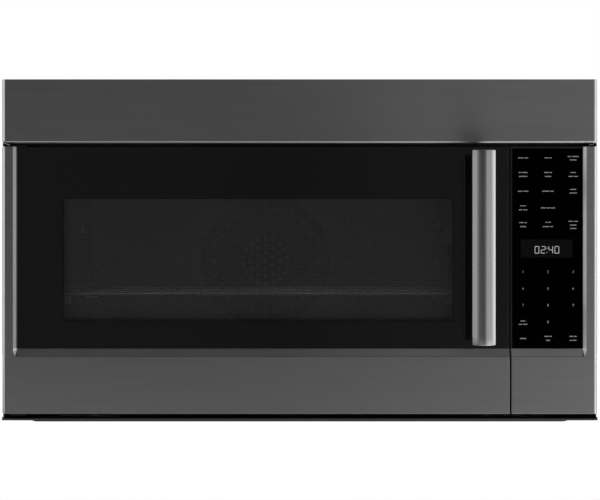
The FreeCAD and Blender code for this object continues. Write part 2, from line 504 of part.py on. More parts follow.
def skin(x0, x1, xo, xi, z0, z1, side):
    """Steel skin of the door or panel. side -1: closed side on the left, +1: on the right."""
    depth = 31.0
    o = B(x0, x1, YF, YF + depth, z0, z1)
    closed = x0 if side < 0 else x1
    es = [e for e in o.Edges if all(abs(v.X - closed) < 1e-6 and abs(v.Y - YF) < 1e-6 for v in e.Vertexes)]
    o = o.makeFillet(EDGE_R, es)
    o = try_fillet(o, 1.2, lambda p: p.y < YF + EDGE_R + 0.1 and abs(p.z - z0) < 1e-6)
    free = x1 if side < 0 else x0
    o = try_fillet(o, 1.0, lambda p: abs(p.x - free) < 1e-6 and p.y < YF + 1.3)
    i = B(x0 + TS, x1 - TS, YF + TS, YF + depth + 5, z0 + TS, z1 + 5)
    inner = x0 + TS if side < 0 else x1 - TS
    i = i.makeFillet(EDGE_R - TS, [e for e in i.Edges if all(abs(v.X - inner) < 1e-6 and abs(v.Y - YF - TS) < 1e-6 for v in e.Vertexes)])
    pan_ = o.cut(i)
    far = x1 + 20 if side < 0 else x0 - 20
    p, t = pocket(xo, xi, far, z1 + 20)
    big, _ = pocket(xo, xi, far, z1 + 20, grow=1.2)
    big = big.cut(B(-600, 600, YF - 10, YF + 0.3, -50, 600))
    lining = big.common(B(x0 + TS, x1 - TS, YF, YF + 20, z0 + TS, z1))
    lining = lining.cut(p)
    thru = B(min(xi, far), max(xi, far), YF - 5, YF + 40, GLASS_Z0, z1 + 30)
    body = pan_.fuse(lining).cut(p.cut(t)).cut(thru).fuse(t)
    body = body.cut(B(min(xi + (-1 if side < 0 else 1) * 0.0, far), max(xi, far), YG, YF + 60, GLASS_Z0 - 0.0, z1 + 30))
    # room for the glass and its frame behind the lining
    g0, g1 = (xi - 1.6, far) if side < 0 else (far, xi + 1.6)
    body = body.cut(B(g0, g1, YG, YF + 60, GLASS_Z0 - 1.6, z1 + 30).cut(
        B(x0 - 1, x0 + TS, YF, YF + 60, z0, z1 + 1)).cut(B(x1 - TS, x1 + 1, YF, YF + 60, z0, GLASS_Z0 - 1.6)))
    return body.removeSplitter()


ds = skin(DOOR_X0, DOOR_X1, DB_X0, DG_X0, DOOR_Z0, DOOR_Z1, -1)
ds = ds.cut(C(HIN_X, HIN_Y, DOOR_Z0 - 2, 6.2, 5))
node("door_skin", ds)
cs = skin(PANEL_X0, PANEL_X1, PB_X1, PG_X1, DOOR_Z0, DOOR_Z1, 1)
node("control_skin", cs)

# ================================================================ door
POST_HOLE = 3.2
dg = B(DG_X0 - 1.3, DOOR_X1, YG, YG + GLASS_T, GLASS_Z0 - 1.3, DOOR_Z1)
dg = dg.makeFillet(0.6, [e for e in dg.Edges if all(abs(v.Y - YG) < 1e-6 and (abs(v.Z - DOOR_Z1) < 1e-6 or abs(v.X - DOOR_X1) < 1e-6) for v in e.Vertexes)
                         and (all(abs(v.Z - DOOR_Z1) < 1e-6 for v in e.Vertexes) or all(abs(v.X - DOOR_X1) < 1e-6 for v in e.Vertexes))])
dg = K(dg, [C(HAN_X, YG - 2, z, POST_HOLE, 10, (0, 1, 0)) for z in POST_Z])
node("door_glass", dg)

YW = YG + GLASS_T           # rear of the glass
bx0, bx1, bz0, bz1 = DOOR_X0 + TS + 0.1, DOOR_X1 - TS - 0.1, DOOR_Z0 + TS + 0.1, DOOR_Z1 - 1.2
RIM_L, RIM_R, RIM_B, RIM_T = -361.5, 241.5, 30.0, 342.0
body = B(bx0, bx1, YW, Y_DB, bz0, bz1)
cham = ext_z([(bx0 - 1, Y_DB - 5.5), (bx0 + 5.5, Y_DB + 1), (bx0 - 1, Y_DB + 1)], bz0 - 1, bz1 + 1)
body = body.cut(cham)
body = body.cut(B(RIM_L, RIM_R, YW + 3.1, Y_DB + 1, RIM_B, RIM_T))
WX0, WX1, WZ0, WZ1 = WIN_X0 - 6, WIN_X1 + 6, WIN_Z0 - 6, WIN_Z1 + 6
body = body.cut(B(WX0, WX1, YW - 1, YW + 6, WZ0, WZ1))
# hinge seats, latch pocket and windows for the hooks
body = body.cut(C(HIN_X, HIN_Y, DOOR_Z1 - 13.9, 6.0, 20)).cut(C(HIN_X, HIN_Y, DOOR_Z0 - 1, 6.0, 15.8))
body = body.cut(B(LX0 - 1.0, LX1 + 1.0, -175.0, -158.5, 112.0, 330.0))
for z in LATCH_Z:
    body = body.cut(B(LX0 - 0.7, LX1 + 0.7, -160.0, Y_DB + 1, z - 11.0, z + 11.5))
body = K(body, [C(HAN_X, YW - 2, z, 2.3, 10, (0, 1, 0)) for z in POST_Z])
body = body.removeSplitter()
node("door_frame", body)

# Choke plate: stamped steel pan with a step down to the screen.
k0, k1, k2, k3 = RIM_L + 1.0, RIM_R - 1.0, RIM_B + 1.0, RIM_T - 1.0
ky = -156.8
ck = B(k0, k1, ky, ky + T, k2, k3)
ck = ck.fuse(B(k0, k1, YW + 3.1, ky, k2, k3).cut(B(k0 + T, k1 - T, -180.0, ky + 5, k2 + T, k3 - T)))
s0, s1, s2, s3 = -318.0, 212.4, 114.0, 305.0
step_o = rbox_y(s0, s1, s2, s3, -176.0, ky + T, 10.0)
step_i = rbox_y(s0 + T, s1 - T, s2 + T, s3 - T, -175.0, ky + 5, 9.0)
ck = ck.fuse(step_o).cut(step_i).cut(rbox_y(WIN_X0, WIN_X1, WIN_Z0, WIN_Z1, -180, -170, 3.0)).removeSplitter()
node("door_choke_plate", ck)
node("door_screen", B(WIN_X0 - 4, WIN_X1 + 4, -176.6, -176.0, WIN_Z0 - 4, WIN_Z1 + 4))
node("door_inner_glass", rbox_y(s0 + 2, s1 - 2, s2 + 2, s3 - 2, -175.0, -172.4, 8.0))
cc0 = rbox_y(k0 + 0.5, k1 - 0.5, k2 + 0.5, k3 - 0.5, ky + T, Y_DB - 0.2, 6.0)
cci = rbox_y(s0 - 5.0, s1 + 3.0, 84.0, 321.0, ky - 1, Y_DB + 1, 9.0)
cc0 = cc0.cut(cci)
cc0 = try_fillet(cc0, 1.4, lambda p: abs(p.y - (Y_DB - 0.2)) < 1e-6)
node("choke_cover", cc0)

# Handle: bar with a curved front, flat sides and a soft back.
HB = YH + HAN_D           # back of the bar
hw_ = HAN_W / 2
ys = YH + HAN_R - math.sqrt(HAN_R ** 2 - hw_ ** 2)
rb = 3.0
mb = rb * (1 - math.sqrt(0.5))
prof = [
    Part.Arc(V(-hw_, ys, 0), V(0, YH, 0), V(hw_, ys, 0)).toShape(),
    Part.LineSegment(V(hw_, ys, 0), V(hw_, HB - rb, 0)).toShape(),
    Part.Arc(V(hw_, HB - rb, 0), V(hw_ - mb, HB - mb, 0), V(hw_ - rb, HB, 0)).toShape(),
    Part.LineSegment(V(hw_ - rb, HB, 0), V(-hw_ + rb, HB, 0)).toShape(),
    Part.Arc(V(-hw_ + rb, HB, 0), V(-hw_ + mb, HB - mb, 0), V(-hw_, HB - rb, 0)).toShape(),
    Part.LineSegment(V(-hw_, HB - rb, 0), V(-hw_, ys, 0)).toShape(),
]
bar = Part.Face(Part.Wire(prof)).extrude(V(0, 0, HAN_Z1 - HAN_Z0))
bar.translate(V(HAN_X, 0, HAN_Z0))
bar = bar.makeFillet(1.3, [e for e in bar.Edges if e.BoundBox.ZLength > 100 and all(abs(v.Y - ys) < 1e-6 for v in e.Vertexes)])
bar = try_fillet(bar, 0.9, lambda p: abs(p.z - HAN_Z0) < 1e-6)
bar = try_fillet(bar, 0.9, lambda p: abs(p.z - HAN_Z1) < 1e-6)
node("handle_bar", bar)
posts = []
for z in POST_Z:
    p = C(HAN_X, HB, z, 8.0, YG - HB, (0, 1, 0))
    p = p.fuse(tube(HAN_X, YG - 3.0, z, 9.6, 7.0, 3.0, (0, 1, 0))).removeSplitter()
    p = p.cut(C(HAN_X, YG - 14.0, z, 2.2, 16, (0, 1, 0)))
    posts.append(p)
hs_ = []
for z in POST_Z:
    s = C(HAN_X, YG - 13.0, z, 2.15, 13.0 + GLASS_T + 3.1, (0, 1, 0)).fuse(C(HAN_X, YW + 3.1, z, 5.0, 3.0, (0, 1, 0)))
    hs_.append(s.cut(C(HAN_X, YW + 4.6, z, 1.7, 3.0, (0, 1, 0))))
node("handle_posts", posts + hs_)

# Hinges: brackets with their pins on the cabinet, bushes in the door.
def bracket(zarm0, zarm1, zf0, zf1, pz0, pz1):
    arm = B(HIN_X - 7.0, HIN_X + 18.0, HIN_Y - 7.0, YP + T + 2.0, zarm0, zarm1)
    arm = arm.makeFillet(5.0, [e for e in arm.Edges if abs(e.Vertexes[0].Z - e.Vertexes[1].Z) > 1 and e.BoundBox.YMax < HIN_Y])
    fl = B(HIN_X - 7.0, HIN_X + 18.0, YP + T, YP + T + 2.0, zf0, zf1)
    return arm.fuse(fl).fuse(C(HIN_X, HIN_Y, pz0, PIN_R, pz1 - pz0)).removeSplitter()


node("hinge_brackets", [bracket(355.0, 357.0, 325.0, 357.0, DOOR_Z1 - 13.0, 355.5),
                        bracket(9.9, 11.9, 9.9, 42.0, 11.5, DOOR_Z0 + 14.0)])
hb = []
hb.append(tube(HIN_X, HIN_Y, DOOR_Z1 - 13.9, 6.0, PIN_R + 0.05, 13.9 + 0.6))
hb.append(tube(HIN_X, HIN_Y, DOOR_Z0 - 1.6, 6.0, PIN_R + 0.05, 16.4))
node("hinge_bushes", hb)

# Latch hooks on one bar, pushed down by a spring in the door frame.
bar_l = B(LX0, LX1, -173.0, -160.2, 122.0, 312.0)
hooks = [bar_l]
for z in LATCH_Z:
    hk = ext_x([(-165.0, z + 0.5), (-165.0, z + 6.0), (-131.5, z + 6.0), (-126.0, z + 1.5), (-126.0, z - 4.0),
                (-127.0, z - 4.8), (-131.0, z - 4.8), (-134.0, z + 0.5)], LX0 + 0.6, LX1 - 0.6)
    hooks.append(hk)
node("latch_hooks", U(hooks))
sp = []
for i in range(7):
    sp.append(Part.makeTorus(3.0, 0.55, V((LX0 + LX1) / 2, -166.5, 313.4 + 2.4 * i), V(0, 0, 1)))
rod = []
for i in range(6):
    rod.append(C((LX0 + LX1) / 2 + 3.0, -166.5, 313.4 + 2.4 * i, 0.5, 2.4))
node("latch_spring", U(sp + rod))

# Latch board behind the face plate: keepers, switches, one lever.
KX0, KX1 = LX0 - 6.0, LX1 + 6.0
lb = B(KX0, KX1, YP + T, -104.0, 112.0, 330.0)
for z in LATCH_Z:
    lb = lb.cut(B(LX0 - 1.4, LX1 + 1.4, YP, -118.0, z - 18.0, z + 16.0))
    lb = lb.fuse(ext_x([(YP + T, z - 18.2), (YP + T, z - 9.0), (-143.5, z - 5.2), (-136.4, z - 5.2), (-135.4, z - 9.0), (-135.4, z - 18.2)], LX0 - 1.5, LX1 + 1.5))
lb = lb.cut(B(LX0 - 1.4, LX1 + 1.4, -118.2, -108.0, 118.0, 158.0))
node("latch_board", lb.removeSplitter())
sw = [B(KX1, KX1 + 10.2, -128.0, -100.0, 290.0, 306.0), B(KX1, KX1 + 10.2, -128.0, -100.0, 308.0, 324.0),
      B(KX1, KX1 + 10.2, -128.0, -100.0, 128.0, 144.0)]
node("interlock_switches", sw)
LEV_Y, LEV_Z = -113.0, 123.0
lev = C(LX0 - 1.2, LEV_Y, LEV_Z, 3.0, LX1 - LX0 + 2.4, (1, 0, 0))
lev = lev.fuse(ext_x([(LEV_Y - 3.0, LEV_Z), (LEV_Y + 3.0, LEV_Z), (-115.0, 152.0), (-121.0, 152.0), (-124.6, 140.0), (-124.6, 132.0)], LX0 - 0.8, LX1 + 0.8))
lev = lev.cut(B(LX0 - 2, LX1 + 2, -126.0, -125.2, 120, 160))
node("interlock_lever", lev.removeSplitter())

# ================================================================ control panel
pz0, pz1 = DOOR_Z0 + TS + 0.1, DOOR_Z1 - 0.2
hx0, hx1 = PANEL_X0 + TS + 0.1, PANEL_X1 - TS - 0.1
hsg = B(hx0, hx1, YG + 3.1, YP - 0.2, pz0, pz1)
hsg = hsg.cut(B(hx0 + 2, hx1 - 2, YG + 5.1, YP + 5, pz0 + 2, pz1 - 2))
hsg = hsg.fuse(B(PANEL_X0, PANEL_X0 + 0.9, YG - 0.4, YF + 31.0, GLASS_Z0, pz1))
hsg = hsg.fuse(B(PANEL_X0, PG_X1 - 0.1, YG - 0.4, YF + 20.0, pz1 - 0.9, pz1))
hsg = hsg.fuse(B(PANEL_X0, hx0 + 2, YG + 3.1, YF + 31.0, GLASS_Z0, pz1))
hsg = hsg.cut(B(282.0, 348.4, YG + 2, YG + 6.0, 212.6, 236.2))
node("control_housing", hsg.removeSplitter())
tg = B(PANEL_X0 + TS + 0.05, PG_X1 + 1.3, YG, YG + 3.0, GLASS_Z0 - 1.3, pz1 - 1.0)
node("touch_glass", tg)
bd = [B(278.0, 358.0, -172.0, -170.4, 100.0, 340.0),
      B(282.6, 347.8, -179.2, -172.1, 213.2, 235.6),
      B(286.0, 302.0, -170.3, -156.0, 300.0, 328.0), B(308.0, 324.0, -170.3, -156.0, 300.0, 328.0),
      B(290.0, 330.0, -170.3, -153.0, 120.0, 160.0)]
node("control_board", bd)

# ================================================================ turning and lifting pieces
# Turntable drive: shaft and three-lobed coupler.
cp = C(TT_X, TT_Y, CZ0 - T + 0.5, 11.0, 96.4 - (CZ0 - T + 0.5))
for k in range(3):
    arm = B(TT_X, TT_X + 23.0, TT_Y - 5.5, TT_Y + 5.5, 89.0, 96.4)
    cp = cp.fuse(turned(arm, 90 + 120 * k, (TT_X, TT_Y, 0), (0, 0, 1)))
cp = cp.removeSplitter().cut(C(TT_X, TT_Y, CZ0 - 5, 3.5, 14.5))
shaft = C(TT_X, TT_Y, CZ0 - T - 13.0, 3.5, 22.5)
node("turntable_coupler", [cp, shaft])

# Glass tray: dish with a rolled rim and lugs over the coupler.
z0 = TRAY_Z
prof = [(0, z0), (132.0, z0), (150.5, z0 + 9.0), (TRAY_R, z0 + 11.4), (TRAY_R, z0 + 14.1), (149.5, z0 + 12.6),
        (130.5, z0 + 4.2), (0, z0 + 4.2)]
fc = Part.Face(Part.makePolygon([V(TT_X + r, TT_Y, z) for r, z in prof] + [V(TT_X, TT_Y, z0)]))
tray = fc.revolve(V(TT_X, TT_Y, 0), V(0, 0, 1), 360)
for k in range(3):
    for s in (-1, 1):
        lug = B(TT_X + 14, TT_X + 21, TT_Y + s * 9.5 - 3, TT_Y + s * 9.5 + 3, z0 - 4.4, z0 + 0.5)
        tray = tray.fuse(turned(lug, 90 + 120 * k, (TT_X, TT_Y, 0), (0, 0, 1)))
node("glass_tray", tray.removeSplitter())

# Roller ring with three axles, and its rollers.
rr = tube(TT_X, TT_Y, ROLLER_Z - 3.2, 109.0, 102.0, 6.4)
for k in range(3):
    ax = C(TT_X + 108.0, TT_Y, ROLLER_Z, 2.5, 18.4, (1, 0, 0)).fuse(C(TT_X + 108.0, TT_Y, ROLLER_Z, 4.5, 5.0, (1, 0, 0)))
    ax = ax.fuse(C(TT_X + 123.6, TT_Y, ROLLER_Z, 3.6, 2.8, (1, 0, 0)))
    rr = rr.fuse(turned(ax, 120 * k, (TT_X, TT_Y, 0), (0, 0, 1)))
node("roller_ring", rr.removeSplitter())
for k in range(3):
    wl = tube(TT_X + 113.4, TT_Y, ROLLER_Z, ROLLER_R, 2.55, 9.8, (1, 0, 0))
    wl = wl.makeFillet(1.2, [e for e in wl.Edges if e.BoundBox.ZLength > 16.9 and e.BoundBox.XLength < 1e-3])
    node(f"roller_{k + 1}", turned(wl, 120 * k, (TT_X, TT_Y, 0), (0, 0, 1)))

# Rack: wire frame with cross wires.
rx0, rx1, ry0, ry1, rc = CX0 + 8.0, CX1 - 8.0, -128.0, 158.0, 16.0


def ring_wire(x0, x1, y0, y1, r, z):
    m = r - r * math.sqrt(0.5)
    es = [
        Part.LineSegment(V(x0 + r, y0, z), V(x1 - r, y0, z)).toShape(),
        Part.Arc(V(x1 - r, y0, z), V(x1 - m, y0 + m, z), V(x1, y0 + r, z)).toShape(),
        Part.LineSegment(V(x1, y0 + r, z), V(x1, y1 - r, z)).toShape(),
        Part.Arc(V(x1, y1 - r, z), V(x1 - m, y1 - m, z), V(x1 - r, y1, z)).toShape(),
        Part.LineSegment(V(x1 - r, y1, z), V(x0 + r, y1, z)).toShape(),
        Part.Arc(V(x0 + r, y1, z), V(x0 + m, y1 - m, z), V(x0, y1 - r, z)).toShape(),
        Part.LineSegment(V(x0, y1 - r, z), V(x0, y0 + r, z)).toShape(),
        Part.Arc(V(x0, y0 + r, z), V(x0 + m, y0 + m, z), V(x0 + r, y0, z)).toShape(),
    ]
    return Part.Wire(es)


pieces = [
    C(rx0 + rc, ry0, RACK_Z, RACK_WIRE / 2, rx1 - rx0 - 2 * rc, (1, 0, 0)),
    C(rx0 + rc, ry1, RACK_Z, RACK_WIRE / 2, rx1 - rx0 - 2 * rc, (1, 0, 0)),
    C(rx0, ry0 + rc, RACK_Z, RACK_WIRE / 2, ry1 - ry0 - 2 * rc, (0, 1, 0)),
    C(rx1, ry0 + rc, RACK_Z, RACK_WIRE / 2, ry1 - ry0 - 2 * rc, (0, 1, 0)),
]
for cx, cy, a0 in ((rx0 + rc, ry0 + rc, 180), (rx1 - rc, ry0 + rc, 270), (rx1 - rc, ry1 - rc, 0), (rx0 + rc, ry1 - rc, 90)):
    t = Part.makeTorus(rc, RACK_WIRE / 2, V(0, 0, 0), V(0, 0, 1), -180, 180, 90)
    t.rotate(V(0, 0, 0), V(0, 0, 1), a0)
    t.translate(V(cx, cy, RACK_Z))
    pieces.append(t)
nw = 17
for i in range(nw):
    x = rx0 + (rx1 - rx0) * (i + 1) / (nw + 1)
    pieces.append(C(x, ry0 - 0.6, RACK_Z + 2.6, 1.4, ry1 - ry0 + 1.2, (0, 1, 0)))
for y in (-32.0, 62.0):
    pieces.append(C(rx0 + 0.0, y, RACK_Z + 0.4, 1.8, rx1 - rx0, (1, 0, 0)))
rack = U(pieces)
node("oven_rack", rack)

# Convection fan.
cf = C(CV_X, CVB + 5.0, CV_Z, 12.0, 3.0, (0, 1, 0)).fuse(C(CV_X, CVB + 5.0, CV_Z, 66.0, 1.0, (0, 1, 0)))
cf = cf.fuse(C(CV_X, CVB + 3.0, CV_Z, 3.0, 34.0, (0, 1, 0)))
for k in range(12):
    bl = B(CV_X + 20, CV_X + 66, CVB + 5.5, CVB + 17.0, CV_Z - 0.6, CV_Z + 0.6)
    bl.rotate(V(CV_X + 20, 0, CV_Z), V(0, 1, 0), 22)
    bl = bl.common(C(CV_X, CVB, CV_Z, 66.0, 30, (0, 1, 0)))
    cf = cf.fuse(turned(bl, 30 * k, (CV_X, 0, CV_Z), (0, 1, 0)))
node("convection_fan", cf.removeSplitter())

# Magnetron cooling fan: hub and pitched blades.
fan = C(CF_X, CF_Y - 8.0, CF_Z, 15.0, 12.0, (0, 1, 0)).fuse(C(CF_X, CF_Y - 8.0, CF_Z, 3.0, 30.0, (0, 1, 0)))
for k in range(7):
    bl = B(CF_X + 12, CF_X + 52, CF_Y - 2.7, CF_Y - 1.3, CF_Z - 13, CF_Z + 13)
    bl.rotate(V(CF_X, CF_Y - 2.0, CF_Z), V(1, 0, 0), 22)
    bl = bl.common(tube(CF_X, CF_Y - 12, CF_Z, 51.5, 10.0, 22, (0, 1, 0)))
    fan = fan.fuse(turned(bl, 360.0 * k / 7, (CF_X, 0, CF_Z), (0, 1, 0)))
node("cooling_fan", fan.removeSplitter())

# Blower wheels on one shaft: disc, rim rings and forward-curved blades.
wheels = []
for (x0, x1), sgn in ((SC[0], -1), (SC[1], 1)):
    a, b = x0 + 6.0, x1 - 6.0
    disc_x = (a + b) / 2 - 0.6
    wl = C(disc_x, BLOW_Y, BLOW_Z, 42.0, 1.2, (1, 0, 0)).fuse(C(disc_x - 8, BLOW_Y, BLOW_Z, 9.0, 17.0, (1, 0, 0)))
    wl = wl.fuse(tube(a, BLOW_Y, BLOW_Z, 42.0, 36.0, 1.5, (1, 0, 0))).fuse(tube(b - 1.5, BLOW_Y, BLOW_Z, 42.0, 36.0, 1.5, (1, 0, 0)))
    bls = []
    for k in range(24):
        bl = B(a, b, BLOW_Y + 35.4, BLOW_Y + 41.6, BLOW_Z - 0.45, BLOW_Z + 0.45)
        bl.rotate(V(0, BLOW_Y + 38.5, BLOW_Z), V(1, 0, 0), 28)
        bls.append(turned(bl, 15.0 * k, (0, BLOW_Y, BLOW_Z), (1, 0, 0)))
    wl = wl.multiFuse(bls)
    wl = wl.cut(C(disc_x - 20, BLOW_Y, BLOW_Z, 3.95, 50, (1, 0, 0)))
    wheels.append(wl)
shaft_b = C(SC[0][0] + 12, BLOW_Y, BLOW_Z, 3.9, SC[1][1] - SC[0][0] - 24, (1, 0, 0))
node("blower_wheels", wheels + [shaft_b])

# Grease filters: aluminium frame, mesh pad and pull tab.
for side, (a, b) in FIL.items():
    fr = rbox_z(a, b, FY0, FY1, T + 0.15, T + 9.0, 3.0).cut(rbox_z(a + 8, b - 8, FY0 + 8, FY1 - 8, T - 1, T + 12, 3.0))
    pad = B(a + 7.5, b - 7.5, FY0 + 7.5, FY1 - 7.5, T + 2.4, T + 7.6)
    xm = (a + b) / 2
    tab = B(xm - 16, xm + 16, FY0 + 7.5, FY0 + 22.0, 0.4, T + 2.6).cut(B(xm - 12, xm + 12, FY0 + 12.0, FY0 + 18.0, 0.0, T + 2.3))
    g = fr.fuse(pad).fuse(tab)
    node(f"grease_filter_{side}", g.removeSplitter())

# ================================================================ screws
scr = []
for s, y, z in SIDE_SCREWS:
    hd = Part.makeCylinder(3.8, 0.9, V(s * (HW - 1.0), y, z), V(s, 0, 0))
    hd = hd.fuse(Part.makeCylinder(1.8, 7.0, V(s * (HW - 8.0), y, z), V(s, 0, 0)))
    scr.append(hd.cut(Part.makeCylinder(1.5, 1.2, V(s * (HW - 0.7), y, z), V(s, 0, 0))))
for x, z in REAR_SCREWS:
    hd = C(x, YB - T, z, 3.4, T, (0, 1, 0)).fuse(C(x, YB - T - 6.0, z, 1.6, 6.0, (0, 1, 0)))
    scr.append(hd.cut(C(x, YB - 0.6, z, 1.4, 2.0, (0, 1, 0))))
for x, y in TOP_SCREWS:
    hd = C(x, y, H - T, 3.4, T).fuse(C(x, y, H - T - 6.0, 1.6, 6.0))
    scr.append(hd.cut(C(x, y, H - 0.6, 1.4, 2.0)))
for x, y in LENS_SCREWS:
    scr.append(C(x, y, 0.0, 1.6, 5.0).cut(C(x, y, -1.0, 0.8, 1.6)).fuse(C(x, y, T, 3.0, 1.2)))
node("case_screws", scr)

# ================================================================ write
os.makedirs("parts", exist_ok=True)
for fn in os.listdir("parts"):
    if fn.endswith(".step"):
        os.remove(os.path.join("parts", fn))
for name, shape in PARTS.items():
    shape.exportStep(os.path.join("parts", name + ".step"))
print(len(PARTS), "nodes")
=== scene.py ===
import math

import bmesh
import bpy
from mathutils import Matrix, Vector

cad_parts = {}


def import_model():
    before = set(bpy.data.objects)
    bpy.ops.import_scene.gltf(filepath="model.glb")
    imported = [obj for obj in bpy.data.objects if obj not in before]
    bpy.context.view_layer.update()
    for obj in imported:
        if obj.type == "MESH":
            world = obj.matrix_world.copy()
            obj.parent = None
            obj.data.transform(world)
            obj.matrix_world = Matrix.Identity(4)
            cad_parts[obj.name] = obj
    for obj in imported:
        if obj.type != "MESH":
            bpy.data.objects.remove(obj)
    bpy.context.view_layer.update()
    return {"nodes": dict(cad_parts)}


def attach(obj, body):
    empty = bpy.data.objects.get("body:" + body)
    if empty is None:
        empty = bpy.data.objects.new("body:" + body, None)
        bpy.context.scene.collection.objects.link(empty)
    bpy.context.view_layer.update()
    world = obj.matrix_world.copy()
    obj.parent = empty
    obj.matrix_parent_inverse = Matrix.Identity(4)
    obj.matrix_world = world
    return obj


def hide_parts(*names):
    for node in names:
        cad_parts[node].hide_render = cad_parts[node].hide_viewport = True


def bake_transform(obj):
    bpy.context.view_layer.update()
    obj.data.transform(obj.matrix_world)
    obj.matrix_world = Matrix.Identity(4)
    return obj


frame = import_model()
NODES = frame["nodes"]

# ------------------------------------------------------------------ sizes (metres)
HW, H = 0.3794, 0.4397
YF, YG, YH, YB = -0.1895, -0.1845, -0.2355, 0.2355
WIN = (-0.3020, 0.1964, 0.1310, 0.2880)          # screened window: x0, x1, z0, z1
HAN_X, HAN_HW, HAN_R, HAN_BACK = 0.2283, 0.01445, 0.0198, -0.2150
HAN_Z0, HAN_Z1 = 0.1042, 0.3467
PX = 0.001272                                    # metres per pixel of a 600 pixel wide picture, at the front plane
CAM_D = 1.5


# ------------------------------------------------------------------ camera
cam_data = bpy.data.cameras.new("camera")
cam_data.sensor_width = 36.0
cam_data.lens = 36.0 * CAM_D / (600 * PX)
cam_data.clip_start = 0.02
cam_data.clip_end = 50
cam = bpy.data.objects.new("camera", cam_data)
cam.location = (0.25 * PX, YF - CAM_D, 0.2225)
cam.rotation_euler = (math.radians(90), 0, 0)
bpy.context.scene.collection.objects.link(cam)
bpy.context.scene.camera = cam
bpy.context.scene.view_settings.view_transform = "Standard"
bpy.context.scene.view_settings.look = "None"


# ------------------------------------------------------------------ node helpers
class Mat:
    """A material built from nodes, with short ways to add noise, ramps and masks in object coordinates."""

    def __init__(self, name):
        self.m = bpy.data.materials.new(name)
        self.m.use_nodes = True
        self.nt = self.m.node_tree
        self.nt.nodes.clear()
        self.out = self.nt.nodes.new("ShaderNodeOutputMaterial")
        self.p = self.nt.nodes.new("ShaderNodeBsdfPrincipled")
        self.nt.links.new(self.p.outputs[0], self.out.inputs[0])
        self.tc = self.nt.nodes.new("ShaderNodeTexCoord")
        self.co = self.tc.outputs["Object"]
        self._xyz = None

    def set(self, **kw):
        for k, v in kw.items():
            self.p.inputs[k.replace("_", " ")].default_value = v
        return self

    def link(self, a, b):
        self.nt.links.new(a, b)

    def math(self, op, a, b=None, c=None, clamp=False):
        n = self.nt.nodes.new("ShaderNodeMath")
        n.operation = op
        n.use_clamp = clamp
        for i, v in enumerate((a, b, c)):
            if v is None:
                continue
            if isinstance(v, (int, float)):
                n.inputs[i].default_value = v
            else:
                self.link(v, n.inputs[i])
        return n.outputs[0]

    def mapped(self, scale=(1, 1, 1), rot=(0, 0, 0), loc=(0, 0, 0)):
        n = self.nt.nodes.new("ShaderNodeMapping")
        n.inputs["Scale"].default_value = scale
        n.inputs["Rotation"].default_value = rot
        n.inputs["Location"].default_value = loc
        self.link(self.co, n.inputs["Vector"])
        return n.outputs[0]

    def noise(self, scale, detail=3.0, rough=0.55, vec=None, distort=0.0):
        n = self.nt.nodes.new("ShaderNodeTexNoise")
        n.inputs["Scale"].default_value = scale
        n.inputs["Detail"].default_value = detail
        n.inputs["Roughness"].default_value = rough
        n.inputs["Distortion"].default_value = distort
        self.link(vec or self.co, n.inputs["Vector"])
        return n.outputs[0]

    def voronoi(self, scale, feature="F1", out="Distance", vec=None, rnd=1.0):
        n = self.nt.nodes.new("ShaderNodeTexVoronoi")
        n.feature = feature
        n.inputs["Scale"].default_value = scale
        n.inputs["Randomness"].default_value = rnd
        self.link(vec or self.co, n.inputs["Vector"])
        return n.outputs[out]

    def remap(self, v, a, b, c, d, clamp=True):
        n = self.nt.nodes.new("ShaderNodeMapRange")
        n.clamp = clamp
        self.link(v, n.inputs[0])
        for i, x in enumerate((a, b, c, d)):
            n.inputs[i + 1].default_value = x
        return n.outputs[0]

    def ramp(self, v, stops):
        n = self.nt.nodes.new("ShaderNodeValToRGB")
        e = n.color_ramp.elements
        while len(e) > 1:
            e.remove(e[-1])
        for i, (pos, col) in enumerate(stops):
            el = e[0] if i == 0 else e.new(pos)
            el.position = pos
            el.color = (*col, 1.0) if len(col) == 3 else col
        self.link(v, n.inputs[0])
        return n.outputs[0]

    def mix(self, f, a, b):
        n = self.nt.nodes.new("ShaderNodeMix")
        n.data_type = "RGBA"
        for sock, v in ((n.inputs[0], f), (n.inputs[6], a), (n.inputs[7], b)):
            if isinstance(v, (int, float)):
                sock.default_value = v
            elif isinstance(v, (tuple, list)):
                sock.default_value = (*v, 1.0) if len(v) == 3 else v
            else:
                self.link(v, sock)
        return n.outputs[2]

    def xyz(self):
        if self._xyz is None:
            n = self.nt.nodes.new("ShaderNodeSeparateXYZ")
            self.link(self.co, n.inputs[0])
            self._xyz = n.outputs
        return self._xyz

    def inside(self, axis, lo, hi, soft=0.0002):
        """1 between lo and hi along an object axis, 0 outside, with a soft edge."""
        v = self.xyz()[axis]
        a = self.remap(v, lo - soft, lo + soft, 0.0, 1.0)
        b = self.remap(v, hi - soft, hi + soft, 1.0, 0.0)
        return self.math("MULTIPLY", a, b)

    def bump(self, height, strength, dist, normal=None):
        n = self.nt.nodes.new("ShaderNodeBump")
        n.inputs["Strength"].default_value = strength
        n.inputs["Distance"].default_value = dist
        self.link(height, n.inputs["Height"])
        if normal is not None:
            self.link(normal, n.inputs["Normal"])
        return n.outputs[0]

    def edge(self, radius=0.0008):
        """Worn or polished edges: where a rounded normal leaves the true one."""
        b = self.nt.nodes.new("ShaderNodeBevel")
        b.samples = 4
        b.inputs["Radius"].default_value = radius
        g = self.nt.nodes.new("ShaderNodeNewGeometry")
        d = self.nt.nodes.new("ShaderNodeVectorMath")
        d.operation = "DOT_PRODUCT"
        self.link(b.outputs[0], d.inputs[0])
        self.link(g.outputs["Normal"], d.inputs[1])
        return self.remap(d.outputs["Value"], 0.98, 0.75, 0.0, 1.0)

    def normal(self, v):
        self.link(v, self.p.inputs["Normal"])

    def rough(self, v):
        self.link(v, self.p.inputs["Roughness"])

    def color(self, v):
        self.link(v, self.p.inputs["Base Color"])


